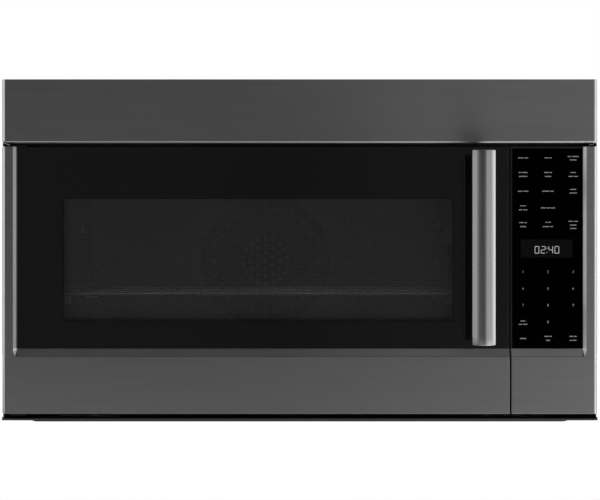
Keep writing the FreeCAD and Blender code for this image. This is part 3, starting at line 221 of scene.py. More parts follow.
def scaled(c, k):
    return tuple(min(1.0, x * k) for x in c[:3])


def brushed(name, col, rough=0.36, aniso=0.8, grain="x", spread="X", contrast=0.10, bump=0.05, smudge=0.05, bend_highlight=0.0):
    """Brushed metal. grain: axis that the brush lines run along. spread: axis of the radial tangent."""
    a = Mat(name).set(Metallic=1.0, Anisotropic=aniso)
    fine = {"x": (5, 420, 420), "y": (420, 5, 420), "z": (420, 420, 5)}[grain]
    wide = {"x": (2.2, 70, 70), "y": (70, 2.2, 70), "z": (70, 70, 2.2)}[grain]
    n1 = a.noise(2.6, 4.0, 0.62, a.mapped(fine))
    n2 = a.noise(2.0, 3.0, 0.55, a.mapped(wide))
    blotch = a.noise(7.0, 3.0, 0.6)
    lines = a.math("ADD", a.math("MULTIPLY", n1, 0.65), a.math("MULTIPLY", n2, 0.35))
    base = a.mix(a.remap(lines, 0.3, 0.7, 0, 1), scaled(col, 1 - contrast), scaled(col, 1 + contrast))
    r = a.math("ADD", a.remap(lines, 0.3, 0.7, rough - 0.03, rough + 0.03), a.remap(blotch, 0.35, 0.7, -smudge / 2, smudge / 2))
    if bend_highlight:
        # painted highlights on the front steel: the outer bends, the right upright bevel, the bottom bevels, the rolled
        # lower edge of the fascia and the mitre tips get a lighter base colour, and the left upright bevel gets a
        # darker one as painted shade. The bends, bevels and rolled edge are also smoother, and the inner edge of the
        # upright bevels is a near-black gasket line.
        x, y, z = a.xyz()
        ax = a.math("ABSOLUTE", x)
        on = a.inside(0, 0.3752, 0.3776)
        on = a.math("MAXIMUM", on, a.inside(0, -0.3776, -0.3752))
        deep = a.remap(y, YF + 0.0001, YF + 0.0005, 0.0, 1.0)
        side = a.math("MULTIPLY", a.math("MULTIPLY", a.remap(ax, 0.3598, 0.3602, 0.0, 1.0), a.remap(ax, 0.3651, 0.3655, 1.0, 0.0)), deep)
        right = a.remap(x, 0.0, 0.001, 0.0, 1.0)
        shut = a.remap(ax, 0.3612, 0.3618, 1.0, 0.0)
        bevel = a.math("MULTIPLY", side, a.inside(2, 0.0968, 0.3560))
        reach = a.math("MULTIPLY_ADD", z, 0.24, -0.0868 * 0.24 + 0.0003)
        off = a.math("ABSOLUTE", a.math("SUBTRACT", ax, 0.3631))
        tip = a.math("MULTIPLY", a.remap(a.math("SUBTRACT", reach, off), -0.0001, 0.0002, 0.0, 1.0), a.math("MULTIPLY", side, a.inside(2, 0.0868, 0.0972)))
        sill = a.math("MULTIPLY", a.math("MULTIPLY", a.inside(2, 0.0866, 0.0966), deep), a.remap(ax, 0.3598, 0.3602, 1.0, 0.0))
        roll = a.math("MULTIPLY", a.inside(2, 0.3580, 0.3609, 0.0004), a.remap(y, -0.1860, -0.1850, 1.0, 0.0))
        # painted highlight on the outer rounded bends
        base = a.mix(on, base, scaled(col, bend_highlight))
        # painted highlight on the right upright bevel, painted shade on the left one
        base = a.mix(bevel, base, a.mix(right, scaled(col, 0.74), scaled(col, 2.2)))
        # painted highlight on the bottom bevels, stronger under the control panel
        base = a.mix(sill, base, a.mix(a.inside(0, 0.2700, 0.3602), scaled(col, 1.75), scaled(col, 2.5)))
        # painted highlight along the rolled lower edge of the fascia
        base = a.mix(roll, base, scaled(col, 1.8))
        # painted highlight on the mitre tips, stronger on the right
        base = a.mix(tip, base, a.mix(right, scaled(col, 2.2), scaled(col, 3.8)))
        base = a.mix(a.math("MULTIPLY", bevel, shut), base, scaled(col, 0.08))
        r = a.math("SUBTRACT", r, a.math("MULTIPLY", a.math("MAXIMUM", on, a.math("MAXIMUM", bevel, roll)), 0.16))
    a.color(base)
    a.rough(r)
    a.normal(a.bump(lines, bump, 0.00004))
    t = a.nt.nodes.new("ShaderNodeTangent")
    t.direction_type = "RADIAL"
    t.axis = spread
    a.link(t.outputs[0], a.p.inputs["Tangent"])
    return a.m


def sheet_paint(name, col, rough=0.42, peel=0.25, spec=0.5):
    """Powder coat: fine orange peel, slight tone drift, rubbed edges."""
    a = Mat(name).set(Metallic=0.0)
    a.p.inputs["Specular IOR Level"].default_value = spec
    n = a.noise(900, 2.0, 0.5)
    drift = a.noise(5.0, 3.0, 0.6)
    base = a.mix(a.remap(drift, 0.3, 0.7, 0, 1), scaled(col, 0.86), scaled(col, 1.16))
    a.color(a.mix(a.math("MULTIPLY", a.edge(), 0.35), base, scaled(col, 2.6)))
    a.rough(a.math("ADD", a.remap(n, 0.3, 0.7, rough - 0.05, rough + 0.05), a.remap(drift, 0.3, 0.7, -0.03, 0.05)))
    a.normal(a.bump(n, peel, 0.00008))
    return a.m


def moulded(name, col, rough=0.5, grain=0.3, scale=1400, metallic=0.0):
    """Moulded plastic: fine spark texture, tone drift, lighter rubbed edges."""
    a = Mat(name).set(Metallic=metallic)
    v = a.voronoi(scale)
    n = a.noise(scale * 0.6, 2.0)
    h = a.math("ADD", a.math("MULTIPLY", v, 0.6), a.math("MULTIPLY", n, 0.4))
    drift = a.noise(9.0, 2.0)
    base = a.mix(a.remap(drift, 0.3, 0.7, 0, 1), scaled(col, 0.88), scaled(col, 1.12))
    a.color(a.mix(a.math("MULTIPLY", a.edge(0.0006), 0.3), base, scaled(col, 1.8)))
    a.rough(a.remap(h, 0.2, 0.8, rough - 0.06, rough + 0.08))
    a.normal(a.bump(h, grain, 0.00006))
    return a.m


def galvanised(name, col, rough=0.38):
    """Zinc spangle: angular patches with their own tone and gloss, light streaks."""
    a = Mat(name).set(Metallic=1.0)
    cell = a.voronoi(170, out="Color")
    sep = a.nt.nodes.new("ShaderNodeSeparateColor")
    a.link(cell, sep.inputs[0])
    n = a.noise(60, 3.0)
    f = a.math("ADD", a.math("MULTIPLY", sep.outputs[0], 0.6), a.math("MULTIPLY", n, 0.4))
    a.color(a.mix(a.remap(f, 0.2, 0.8, 0, 1), scaled(col, 0.91), scaled(col, 1.06)))
    a.rough(a.remap(sep.outputs[1], 0, 1, rough - 0.04, rough + 0.06))
    a.normal(a.bump(f, 0.05, 0.0002))
    return a.m


def enamel(name, col, speck, rough=0.22):
    """Fired enamel with fine specks."""
    a = Mat(name).set(Coat_Weight=0.25, Coat_Roughness=0.12)
    v = a.voronoi(620, rnd=1.0)
    s = a.remap(v, 0.14, 0.2, 1.0, 0.0)
    pick = a.remap(a.noise(210, 1.0), 0.5, 0.58, 0.0, 1.0)
    mask = a.math("MULTIPLY", s, pick)
    drift = a.noise(6, 2.0)
    base = a.mix(a.remap(drift, 0.3, 0.7, 0, 1), scaled(col, 0.9), scaled(col, 1.08))
    a.color(a.mix(mask, base, speck))
    a.rough(a.remap(a.noise(30, 3.0), 0.3, 0.7, rough - 0.04, rough + 0.06))
    a.normal(a.bump(a.noise(160, 2.0), 0.06, 0.0002))
    return a.m


# ------------------------------------------------------------------ materials
BLACK_STEEL = (0.255, 0.252, 0.255)
M = {}
M["steel_front"] = brushed("steel_front", BLACK_STEEL, rough=0.48, aniso=0.78, grain="x", spread="X", bend_highlight=2.2)
M["steel_handle"] = brushed("steel_handle", (0.34, 0.335, 0.335), rough=0.22, aniso=0.3, grain="z", spread="Z", contrast=0.08)
M["case"] = sheet_paint("case_paint", (0.022, 0.022, 0.024), rough=0.40)
M["pan"] = sheet_paint("pan_paint", (0.028, 0.028, 0.030), rough=0.45)
M["bracket"] = sheet_paint("bracket_paint", (0.012, 0.012, 0.013), rough=0.5)
M["face"] = sheet_paint("face_plate_enamel", (0.035, 0.035, 0.037), rough=0.32, peel=0.12)
M["zinc"] = galvanised("galvanised_sheet", (0.56, 0.57, 0.58))
M["enamel"] = enamel("cavity_enamel", (0.105, 0.105, 0.108), (0.62, 0.62, 0.60))
M["cover_enamel"] = enamel("cover_enamel", (0.034, 0.034, 0.036), (0.30, 0.30, 0.29))
M["louvre"] = moulded("louvre_plastic", (0.0035, 0.0035, 0.004), rough=0.6, grain=0.15)
M["louvre"].node_tree.nodes["Principled BSDF"].inputs["Specular IOR Level"].default_value = 0.15
M["black_plastic"] = moulded("black_plastic", (0.014, 0.014, 0.015), rough=0.5)
M["trim_plastic"] = moulded("trim_plastic", (0.008, 0.008, 0.009), rough=0.42, grain=0.15)
M["pale_plastic"] = moulded("pale_plastic", (0.62, 0.60, 0.55), rough=0.45, grain=0.15)
M["fan_plastic"] = moulded("fan_plastic", (0.035, 0.035, 0.04), rough=0.48)
M["zinc_dark"] = galvanised("motor_steel", (0.40, 0.40, 0.41), rough=0.45)
M["alu"] = brushed("aluminium", (0.74, 0.74, 0.75), rough=0.34, aniso=0.3, grain="x", spread="X", contrast=0.05)
M["fan_alu"] = brushed("fan_blades", (0.26, 0.26, 0.265), rough=0.5, aniso=0.2, grain="x", spread="X", contrast=0.05)
M["spring"] = brushed("spring_steel", (0.5, 0.5, 0.5), rough=0.3, aniso=0.2, grain="z", spread="Z")
M["heater"] = brushed("heater_sheath", (0.16, 0.145, 0.13), rough=0.5, aniso=0.1, grain="x", spread="Y", contrast=0.25)
M["screen"] = sheet_paint("screen_paint", (0.098, 0.098, 0.100), rough=0.5, peel=0.1)


def chrome():
    a = Mat("chrome_wire").set(Metallic=1.0)
    n = a.noise(40, 3.0)
    a.color(a.mix(a.remap(n, 0.3, 0.7, 0, 1), (0.84, 0.84, 0.85), (0.92, 0.92, 0.93)))
    a.rough(a.remap(a.noise(300, 2.0), 0.3, 0.7, 0.16, 0.26))
    a.normal(a.bump(n, 0.03, 0.0003))
    return a.m


def door_glass():
    """Black ceramic print round a smoked window; the window is smoked and lets most of the light through."""
    a = Mat("door_glass_black").set(IOR=1.5)
    win = a.math("MULTIPLY", a.inside(0, WIN[0], WIN[1], 0.0006), a.inside(2, WIN[2], WIN[3], 0.0006))
    drift = a.noise(4.0, 2.0)
    a.color(a.mix(a.remap(drift, 0.3, 0.7, 0, 1), (0.0038, 0.0039, 0.0041), (0.0050, 0.0051, 0.0053)))
    a.rough(a.remap(a.noise(22, 4.0), 0.35, 0.7, 0.02, 0.05))
    a.link(a.remap(win, 0.0, 1.0, 1.0, 0.28), a.p.inputs["Alpha"])
    return a.m


def touch_glass():
    a = Mat("touch_glass_black").set(IOR=1.5)
    disp = a.math("MULTIPLY", a.inside(0, 0.2821, 0.3482, 0.0003), a.inside(2, 0.2130, 0.2359, 0.0003))
    # painted highlight: a lighter strip along the left and top edges of the glass
    edge_highlight = a.math("SUBTRACT", 1.0, a.math("MULTIPLY", a.inside(0, 0.2714, 0.4), a.inside(2, 0.05, 0.3519)))
    base = a.mix(disp, (0.0001, 0.0001, 0.0001), (0.0066, 0.0066, 0.0068))
    a.color(a.mix(edge_highlight, base, (0.012, 0.012, 0.012)))
    a.rough(a.remap(a.noise(22, 4.0), 0.35, 0.7, 0.03, 0.06))
    a.p.inputs["Specular IOR Level"].default_value = 0.015
    return a.m


def clear_glass(name, tint=(0.93, 0.96, 0.95), rough=0.02):
    a = Mat(name).set(IOR=1.5)
    a.p.inputs["Transmission Weight"].default_value = 1.0
    n = a.noise(12, 3.0)
    a.color(a.mix(a.remap(n, 0.3, 0.7, 0, 1), tint, scaled(tint, 1.03)))
    a.rough(a.remap(a.noise(40, 4.0), 0.4, 0.75, rough, rough + 0.05))
    return a.m


def pane(name, alpha=0.14):
    a = Mat(name).set(IOR=1.5)
    n = a.noise(12, 3.0)
    a.color(a.mix(a.remap(n, 0.3, 0.7, 0, 1), (0.02, 0.022, 0.022), (0.05, 0.053, 0.053)))
    a.rough(a.remap(a.noise(40, 4.0), 0.4, 0.75, 0.03, 0.09))
    a.link(a.remap(a.noise(6, 2.0), 0.3, 0.7, alpha * 0.8, alpha * 1.2), a.p.inputs["Alpha"])
    return a.m


def frosted():
    a = Mat("frosted_lens").set(IOR=1.5)
    w = a.nt.nodes.new("ShaderNodeTexWave")
    w.bands_direction = "X"
    w.inputs["Scale"].default_value = 110
    w.inputs["Distortion"].default_value = 0.3
    a.link(a.co, w.inputs["Vector"])
    a.color(a.mix(a.remap(a.noise(90, 3.0), 0.3, 0.7, 0, 1), (0.70, 0.72, 0.71), (0.82, 0.84, 0.82)))
    a.rough(a.remap(a.noise(500, 2.0), 0.3, 0.7, 0.35, 0.55))
    a.normal(a.bump(w.outputs[1], 0.4, 0.0004))
    return a.m


def mica():
    a = Mat("mica_sheet").set()
    n = a.noise(60, 5.0, 0.65, a.mapped((1, 0.5, 1.6)))
    a.color(a.ramp(n, [(0.3, (0.30, 0.26, 0.19)), (0.5, (0.46, 0.41, 0.31)), (0.7, (0.58, 0.53, 0.42))]))
    a.rough(a.remap(n, 0.3, 0.7, 0.35, 0.6))
    a.normal(a.bump(n, 0.15, 0.0003))
    return a.m


def transformer():
    """Stacked laminations with two varnished coils."""
    a = Mat("transformer_parts").set()
    coil = a.math("MAXIMUM", a.inside(1, -0.02, 0.0158, 0.0001), a.inside(1, 0.1162, 0.16, 0.0001))
    w = a.nt.nodes.new("ShaderNodeTexWave")
    w.bands_direction = "Z"
    w.inputs["Scale"].default_value = 320
    a.link(a.co, w.inputs["Vector"])
    lam = a.nt.nodes.new("ShaderNodeTexWave")
    lam.bands_direction = "Y"
    lam.inputs["Scale"].default_value = 330
    lam.inputs["Distortion"].default_value = 0.6
    a.link(a.co, lam.inputs["Vector"])
    wire = a.ramp(w.outputs[1], [(0.1, (0.12, 0.035, 0.012)), (0.7, (0.55, 0.20, 0.07))])
    core = a.ramp(lam.outputs[1], [(0.1, (0.12, 0.12, 0.12)), (0.8, (0.30, 0.30, 0.31))])
    a.color(a.mix(coil, core, wire))
    a.p.inputs["Metallic"].default_value = 0.7
    a.rough(a.remap(a.noise(80, 3.0), 0.3, 0.7, 0.32, 0.5))
    a.normal(a.bump(w.outputs[1], 0.4, 0.0004))
    return a.m


def board():
    """Green laminate, black modules, faint tracks."""
    a = Mat("circuit_board").set()
    pcb = a.inside(1, -0.1722, -0.1702, 0.0001)
    brick = a.nt.nodes.new("ShaderNodeTexBrick")
    brick.inputs["Scale"].default_value = 160
    brick.inputs["Mortar Size"].default_value = 0.02
    brick.inputs["Color1"].default_value = (0.008, 0.085, 0.035, 1)
    brick.inputs["Color2"].default_value = (0.010, 0.11, 0.045, 1)
    brick.inputs["Mortar"].default_value = (0.25, 0.18, 0.07, 1)
    rot = a.mapped((1, 1, 1), (math.radians(90), 0, 0))
    a.link(rot, brick.inputs["Vector"])
    a.color(a.mix(pcb, a.mix(a.noise(50, 2.0), (0.02, 0.02, 0.022), (0.05, 0.05, 0.055)), brick.outputs[0]))
    a.rough(a.remap(a.noise(90, 3.0), 0.3, 0.7, 0.28, 0.45))
    a.normal(a.bump(a.noise(700, 2.0), 0.1, 0.0002))
    return a.m


def lamp_parts():
    a = Mat("lamp_parts").set(IOR=1.5)
    n = a.noise(30, 3.0)
    a.color(a.ramp(n, [(0.3, (0.66, 0.63, 0.56)), (0.7, (0.80, 0.78, 0.72))]))
    a.rough(a.remap(a.noise(120, 3.0), 0.3, 0.7, 0.18, 0.34))
    a.normal(a.bump(n, 0.08, 0.0003))
    return a.m


def charcoal():
    a = Mat("charcoal_pad").set()
    w = a.nt.nodes.new("ShaderNodeTexWave")
    w.bands_direction = "X"
    w.inputs["Scale"].default_value = 40
    a.link(a.co, w.inputs["Vector"])
    v = a.voronoi(500)
    a.color(a.mix(v, (0.006, 0.006, 0.006), (0.05, 0.05, 0.05)))
    a.rough(a.remap(v, 0, 1, 0.75, 0.95))
    a.normal(a.bump(w.outputs[1], 0.7, 0.004, a.bump(v, 0.8, 0.0008)))
    return a.m


def filter_metal():
    """Aluminium frame round layered mesh: the mesh is darker, with its own net of bumps."""
    a = Mat("filter_metal").set(Metallic=1.0)
    x, y, z = a.xyz()
    lo = a.math("MAXIMUM", a.inside(0, -0.3221, -0.0699, 0.0001), a.inside(0, 0.0679, 0.3201, 0.0001))
    pad = a.math("MULTIPLY", a.math("MULTIPLY", lo, a.inside(1, -0.0321, 0.1041, 0.0001)), a.remap(z, 0.0028, 0.0032, 0.0, 1.0))
    v = a.voronoi(420, vec=a.mapped((0.6, 1, 1)))
    n = a.noise(60, 3.0, 0.6, a.mapped((1, 8, 8)))
    frame_c = a.mix(a.remap(n, 0.3, 0.7, 0, 1), (0.66, 0.66, 0.67), (0.76, 0.76, 0.77))
    pad_c = a.mix(a.remap(v, 0.1, 0.6, 0, 1), (0.30, 0.30, 0.30), (0.06, 0.06, 0.06))
    a.color(a.mix(pad, frame_c, pad_c))
    a.rough(a.remap(n, 0.3, 0.7, 0.34, 0.46))
    a.normal(a.bump(a.math("MULTIPLY", v, pad), 0.8, 0.0012))
    return a.m


M["filter"] = filter_metal()
M["chrome"] = chrome()
M["door_glass"] = door_glass()
M["touch_glass"] = touch_glass()
M["tray_glass"] = clear_glass("tray_glass")
M["pane"] = pane("inner_pane")
M["frosted"] = frosted()
M["mica"] = mica()
M["transformer"] = transformer()
M["board"] = board()
M["lamp"] = lamp_parts()
M["charcoal"] = charcoal()

ASSIGN = {
    "steel_front": ["door_skin", "vent_fascia", "control_skin"],
    "steel_handle": ["handle_bar", "handle_posts"],
    "door_glass": ["door_glass"],
    "touch_glass": ["touch_glass"],
    "pane": ["door_inner_glass"],
    "tray_glass": ["glass_tray"],
    "frosted": ["cooktop_lamp_lenses"],
    "case": ["outer_case"],
    "pan": ["base_pan"],
    "zinc": ["rear_panel", "waveguide", "magnetron", "blower_housing", "cooling_fan_shroud"],
    "bracket": ["hinge_brackets"],
    "face": ["cavity_face_plate", "door_choke_plate"],
    "screen": ["door_screen"],
    "enamel": ["cavity_shell"],
    "cover_enamel": ["convection_cover", "convection_housing"],
    "fan_alu": ["convection_fan"],
    "louvre": ["vent_louvre"],
    "black_plastic": ["cord_bush", "interlock_switches", "choke_cover", "door_frame"],
    "trim_plastic": ["control_housing"],
    "pale_plastic": ["latch_board", "latch_hooks", "interlock_lever", "hinge_bushes", "rack_supports", "roller_ring", "roller_1", "roller_2", "roller_3", "turntable_coupler"],
    "mica": ["waveguide_cover"],
    "zinc_dark": ["convection_motor", "cooling_fan_motor", "blower_motor", "turntable_motor"],
    "transformer": ["hv_transformer"],
    "alu": ["hv_capacitor"],
    "filter": ["grease_filter_left", "grease_filter_right"],
    "board": ["control_board"],
    "lamp": ["cavity_lamp", "cooktop_lamps"],
    "heater": ["convection_heater"],
    "fan_plastic": ["cooling_fan", "blower_wheels"],
    "chrome": ["oven_rack"],
    "spring": ["latch_spring", "case_screws"],
    "charcoal": ["charcoal_filter"],
}
for key, names in ASSIGN.items():
    for n in names:
        o = NODES[n]
        o.data.materials.clear()
        o.data.materials.append(M[key])


# ------------------------------------------------------------------ mesh helpers
def obj_from(name, verts, faces, mat, body, smooth=False):
    me = bpy.data.meshes.new(name)
    me.from_pydata(verts, [], faces)
    me.validate()
    me.update()
    if smooth:
        me.shade_smooth()
    o = bpy.data.objects.new(name, me)
    bpy.context.scene.collection.objects.link(o)
    me.materials.append(mat)
    if body:
        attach(o, body)
    return o


def sharp_by_angle(o, deg):
    me = o.data
    bm = bmesh.new()
    bm.from_mesh(me)
    for f in bm.faces:
        f.smooth = True
    lim = math.radians(deg)
    for e in bm.edges:
        e.smooth = len(e.link_faces) == 2 and e.calc_face_angle(0.0) < lim
    bm.to_mesh(me)
    bm.free()
    me.update()


# handle bar: curved front, flat sides, soft back, rolled ends
def handle():
    hw, R, r, rb, re = HAN_HW, HAN_R, 0.0013, 0.0030, 0.0011
    t1 = math.asin((hw - r) / (R - r))
    cy = YH + R - (R - r) * math.cos(t1)
    half = []
    for k in range(41):
        f = t1 * k / 40
        half.append((R * math.sin(f), YH + R - R * math.cos(f), f))
    for k in range(1, 11):
        f = t1 + (math.pi / 2 - t1) * k / 10
        half.append((hw - r + r * math.sin(f), cy - r * math.cos(f), f))
    ys = HAN_BACK - rb
    for k in range(1, 7):
        half.append((hw, cy + (ys - cy) * k / 6, math.pi / 2))
    for k in range(1, 11):
        f = math.pi / 2 * (1 + k / 10)
        half.append((hw - rb + rb * math.sin(f), ys - rb * math.cos(f), f))
    half.append(((hw - rb) / 2, HAN_BACK, math.pi))
    loop = half + [(0.0, HAN_BACK, math.pi)] + [(-x, y, -f) for x, y, f in reversed(half[1:])]
    n = len(loop)
    rings = []
    ends = [(re * (1 - math.cos(math.radians(15 * k))), re * (1 - math.sin(math.radians(15 * k)))) for k in range(7)]
    for dz, i in ends:
        rings.append((HAN_Z0 + dz, i))
    for k in range(1, 24):
        rings.append((HAN_Z0 + re + (HAN_Z1 - HAN_Z0 - 2 * re) * k / 24, 0.0))
    for dz, i in reversed(ends):
        rings.append((HAN_Z1 - dz, i))
    verts, faces = [], []
    for z, i in rings:
        for x, y, f in loop:
            verts.append((HAN_X + x - i * math.sin(f), y + i * math.cos(f), z))
    for q in range(len(rings) - 1):
        for k in range(n):
            a, b = q * n + k, q * n + (k + 1) % n
            faces.append((a, b, b + n, a + n))
    faces.append(tuple(reversed(range(n))))
    faces.append(tuple((len(rings) - 1) * n + k for k in range(n)))
    o = obj_from("handle_bar_rolled", verts, faces, M["steel_handle"], "door")
    sharp_by_angle(o, 40)
    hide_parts("handle_bar")


handle()


# perforated screen, in two halves, every hole cut through
def screen():
    y0, y1 = -0.1766, -0.1760
    pitch, hole = 0.002609, 0.00172
    x0, x1, z0, z1 = WIN[0] - 0.004, WIN[1] + 0.004, WIN[2] - 0.004, WIN[3] + 0.004
    nx, nz = int((x1 - x0) / pitch), int((z1 - z0) / pitch)
    px, pz = (x1 - x0) / nx, (z1 - z0) / nz
    first = None
    for part, (a, b) in enumerate(((0, nx // 2), (nx // 2, nx))):
        verts, faces = [], []
        corner = {}

        def cv(i, k, y):
            key = (i, k, y)
            if key not in corner:
                corner[key] = len(verts)
                verts.append((x0 + i * px, y, z0 + k * pz))
            return corner[key]

        for i in range(a, b):
            for k in range(nz):
                cx, cz = x0 + (i + 0.5) * px + (0.0004 if k % 2 else -0.0004), z0 + (k + 0.5) * pz
                h = hole / 2
                hs = [(-h, -h), (h, -h), (h, h), (-h, h)]
                f = len(verts)
                for y in (y0, y1):
                    for dx, dz in hs:
                        verts.append((cx + dx, y, cz + dz))
                for y, o_, flip in ((y0, f, False), (y1, f + 4, True)):
                    cs = [cv(i, k, y), cv(i + 1, k, y), cv(i + 1, k + 1, y), cv(i, k + 1, y)]
                    for q in range(4):
                        r = (q + 1) % 4
                        quad = (cs[q], cs[r], o_ + r, o_ + q)
                        faces.append(tuple(reversed(quad)) if flip else quad)
                for q in range(4):
                    r = (q + 1) % 4
                    faces.append((f + q, f + r, f + 4 + r, f + 4 + q))
        # outer rim of this half
        rim = [((a, k), (a, k + 1)) for k in range(nz)] + [((b, k + 1), (b, k)) for k in range(nz)]
        rim += [((i + 1, 0), (i, 0)) for i in range(a, b)] + [((i, nz), (i + 1, nz)) for i in range(a, b)]
        for p, q in rim:
            faces.append((cv(*p, y0), cv(*q, y0), cv(*q, y1), cv(*p, y1)))
        o = obj_from(f"door_screen_perforated_{part + 1}", verts, faces, M["screen"], "door")
        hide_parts("door_screen")


screen()


# latch spring: one true coil, its top against the door and its foot on the latch bar
def spring():
    cx, cy, z0, z1, r, w = 0.2506, -0.1665, 0.3129, 0.3283, 0.0030, 0.00055
    turns, seg, sec = 6.5, 30, 8
    verts, faces = [], []
    n = int(turns * seg)
    for i in range(n + 1):
        t = 2 * math.pi * i / seg
        f = i / n
        g = min(1.0, max(0.0, (f - 0.08) / 0.84))
        z = z0 + w + (z1 - z0 - 2 * w) * g
        c = Vector((cx + r * math.cos(t), cy + r * math.sin(t), z))
        rad = Vector((math.cos(t), math.sin(t), 0))
        for k in range(sec):
            a = 2 * math.pi * k / sec
            verts.append(tuple(c + rad * (w * math.cos(a)) + Vector((0, 0, w * math.sin(a)))))
    for i in range(n):
        for k in range(sec):
            a, b = i * sec + k, i * sec + (k + 1) % sec
            faces.append((a, b, b + sec, a + sec))
    faces.append(tuple(range(sec)))
    faces.append(tuple(reversed([n * sec + k for k in range(sec)])))
    o = obj_from("latch_spring_coil", verts, faces, M["spring"], None, smooth=True)
    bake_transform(o)
    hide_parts("latch_spring")


spring()


# ------------------------------------------------------------------ printed marks and clock digits
def print_mat(name, col, glow=0.0):
    a = Mat(name).set()
    n = a.noise(2500, 2.0)
    a.color(a.mix(a.remap(n, 0.3, 0.7, 0, 1), scaled(col, 0.9), scaled(col, 1.1)))
    a.rough(a.remap(n, 0.3, 0.7, 0.45, 0.6))
    if glow:
        a.p.inputs["Emission Color"].default_value = (0.96, 0.98, 1.0, 1)
        a.p.inputs["Emission Strength"].default_value = glow
    return a.m


INK = print_mat("panel_ink", (0.30, 0.30, 0.30))
LED = print_mat("clock_light", (0.36, 0.36, 0.36), glow=0.22)
FACE_Y = YG - 0.00006


def slab(bm, pts, y0, y1):
    """Closed slab from a polygon of (x, z) points."""
    a = [bm.verts.new((x, y0, z)) for x, z in pts]
    b = [bm.verts.new((x, y1, z)) for x, z in pts]
    bm.faces.new(a)
    bm.faces.new(list(reversed(b)))
    n = len(pts)
    for i in range(n):
        j = (i + 1) % n
        bm.faces.new((a[j], a[i], b[i], b[j]))


def pill(x0, x1, z0, z1, n=6):
    r = min(x1 - x0, z1 - z0) / 2
    pts = []
    for cx, cz, s in ((x1 - r, z1 - r, 0), (x0 + r, z1 - r, 90), (x0 + r, z0 + r, 180), (x1 - r, z0 + r, 270)):
        for k in range(n + 1):
            a = math.radians(s + 90 * k / n)
            p = (cx + r * math.cos(a), cz + r * math.sin(a))
            if not pts or (abs(p[0] - pts[-1][0]) + abs(p[1] - pts[-1][1])) > 1e-7:
                pts.append(p)
    if abs(p[0] - pts[0][0]) + abs(p[1] - pts[0][1]) < 1e-7:
        pts.pop()
    return pts


SG = PX * (CAM_D + (YG - YF)) / CAM_D        # metres per pixel on the glass


def gx(px):
    return (px - 299.75) * SG


def gz(py):
    return 0.2225 - (py - 250.0) * SG


# key marks: plain dashes, one row or two to a key, as (column, pixel row, pixel width, pattern)
COLS = {"l": 523.0, "m": 548.0, "r": 573.2}
KEYS = [
    ("l", 157.9, 10.2, (5, 3)), ("m", 157.9, 7.3, (4, 2)), ("r", 156.5, 11.2, (3, 6)), ("r", 159.9, 6.7, (5,)),
    ("l", 172.5, 9.0, (2, 5)), ("l", 176.4, 9.0, (6,)), ("m", 172.5, 8.0, (5, 2)), ("m", 176.4, 6.4, (3,)),
    ("r", 172.5, 5.7, (2,)), ("r", 176.4, 9.3, (4, 4)),
    ("l", 191.2, 10.7, (4, 4)), ("m", 191.2, 11.8, (6, 3)), ("r", 189.4, 6.2, (3,)), ("r", 193.0, 7.7, (5,)),
    ("l", 205.9, 5.9, (3,)), ("l", 209.8, 8.7, (3, 4)), ("m", 207.9, 14.3, (5, 3, 4)),
    ("l", 222.6, 8.0, (4, 2)), ("l", 226.6, 6.0, (3,)), ("m", 222.3, 5.6, (2, 2)), ("m", 226.6, 10.6, (6, 3)),
    ("r", 221.3, 9.7, (4, 3)), ("r", 225.1, 6.8, (4,)), ("r", 228.5, 6.4, (3,)),
    ("l", 321.0, 5.1, (3,)), ("l", 324.3, 8.5, (3, 4)),
    ("l", 338.5, 6.2, (4,)), ("m", 336.4, 7.5, (4, 2)), ("m", 340.3, 4.1, (2,)), ("r", 336.4, 7.2, (3, 3)), ("r", 340.3, 6.8, (2, 4)),
]


def key_marks():
    bm = bmesh.new()
    for col, row, width, pat in KEYS:
        xc, z = gx(COLS[col]), gz(row)
        w = width * SG
        gap = 0.00085
        total = sum(pat)
        room = w - gap * (len(pat) - 1)
        x = xc - w / 2
        hh = 0.00062
        for p in pat:
            l = room * p / total
            slab(bm, pill(x, x + l, z - hh, z + hh), FACE_Y, YG + 0.00002)
            x += l + gap
    me = bpy.data.meshes.new("key_marks")
    bm.to_mesh(me)
    bm.free()
    o = bpy.data.objects.new("key_marks", me)
    bpy.context.scene.collection.objects.link(o)
    me.materials.append(INK)
    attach(o, "cabinet")


key_marks()


def digits():
    rows = [(271.9, "123"), (288.7, "456"), (305.3, "789"), (322.0, " 0 ")]
    for row, text in rows:
        for col, ch in zip("lmr", text):
            if ch == " ":
                continue
            cu = bpy.data.curves.new("digit_" + ch, "FONT")
            cu.body = ch
            cu.size = 0.0047
            cu.align_x = "CENTER"
            cu.align_y = "CENTER"
            cu.extrude = 0.00003
            cu.offset = 0.00002
            cu.resolution_u = 4
            tmp = bpy.data.objects.new("digit_" + ch, cu)
            bpy.context.scene.collection.objects.link(tmp)
            bpy.context.view_layer.update()
            me = bpy.data.meshes.new_from_object(tmp)
            bpy.data.objects.remove(tmp)
            me.transform(Matrix.Translation((gx(COLS[col]), YG - 0.00003, gz(row))) @ Matrix.Rotation(math.radians(90), 4, "X"))
            me.name = "digit_" + ch
            o = bpy.data.objects.new("digit_" + ch, me)
            bpy.context.scene.collection.objects.link(o)
            me.materials.clear()
            me.materials.append(INK)
            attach(o, "cabinet")


digits()

SEG = {"0": "abcdef", "2": "abged", "4": "fgbc"}


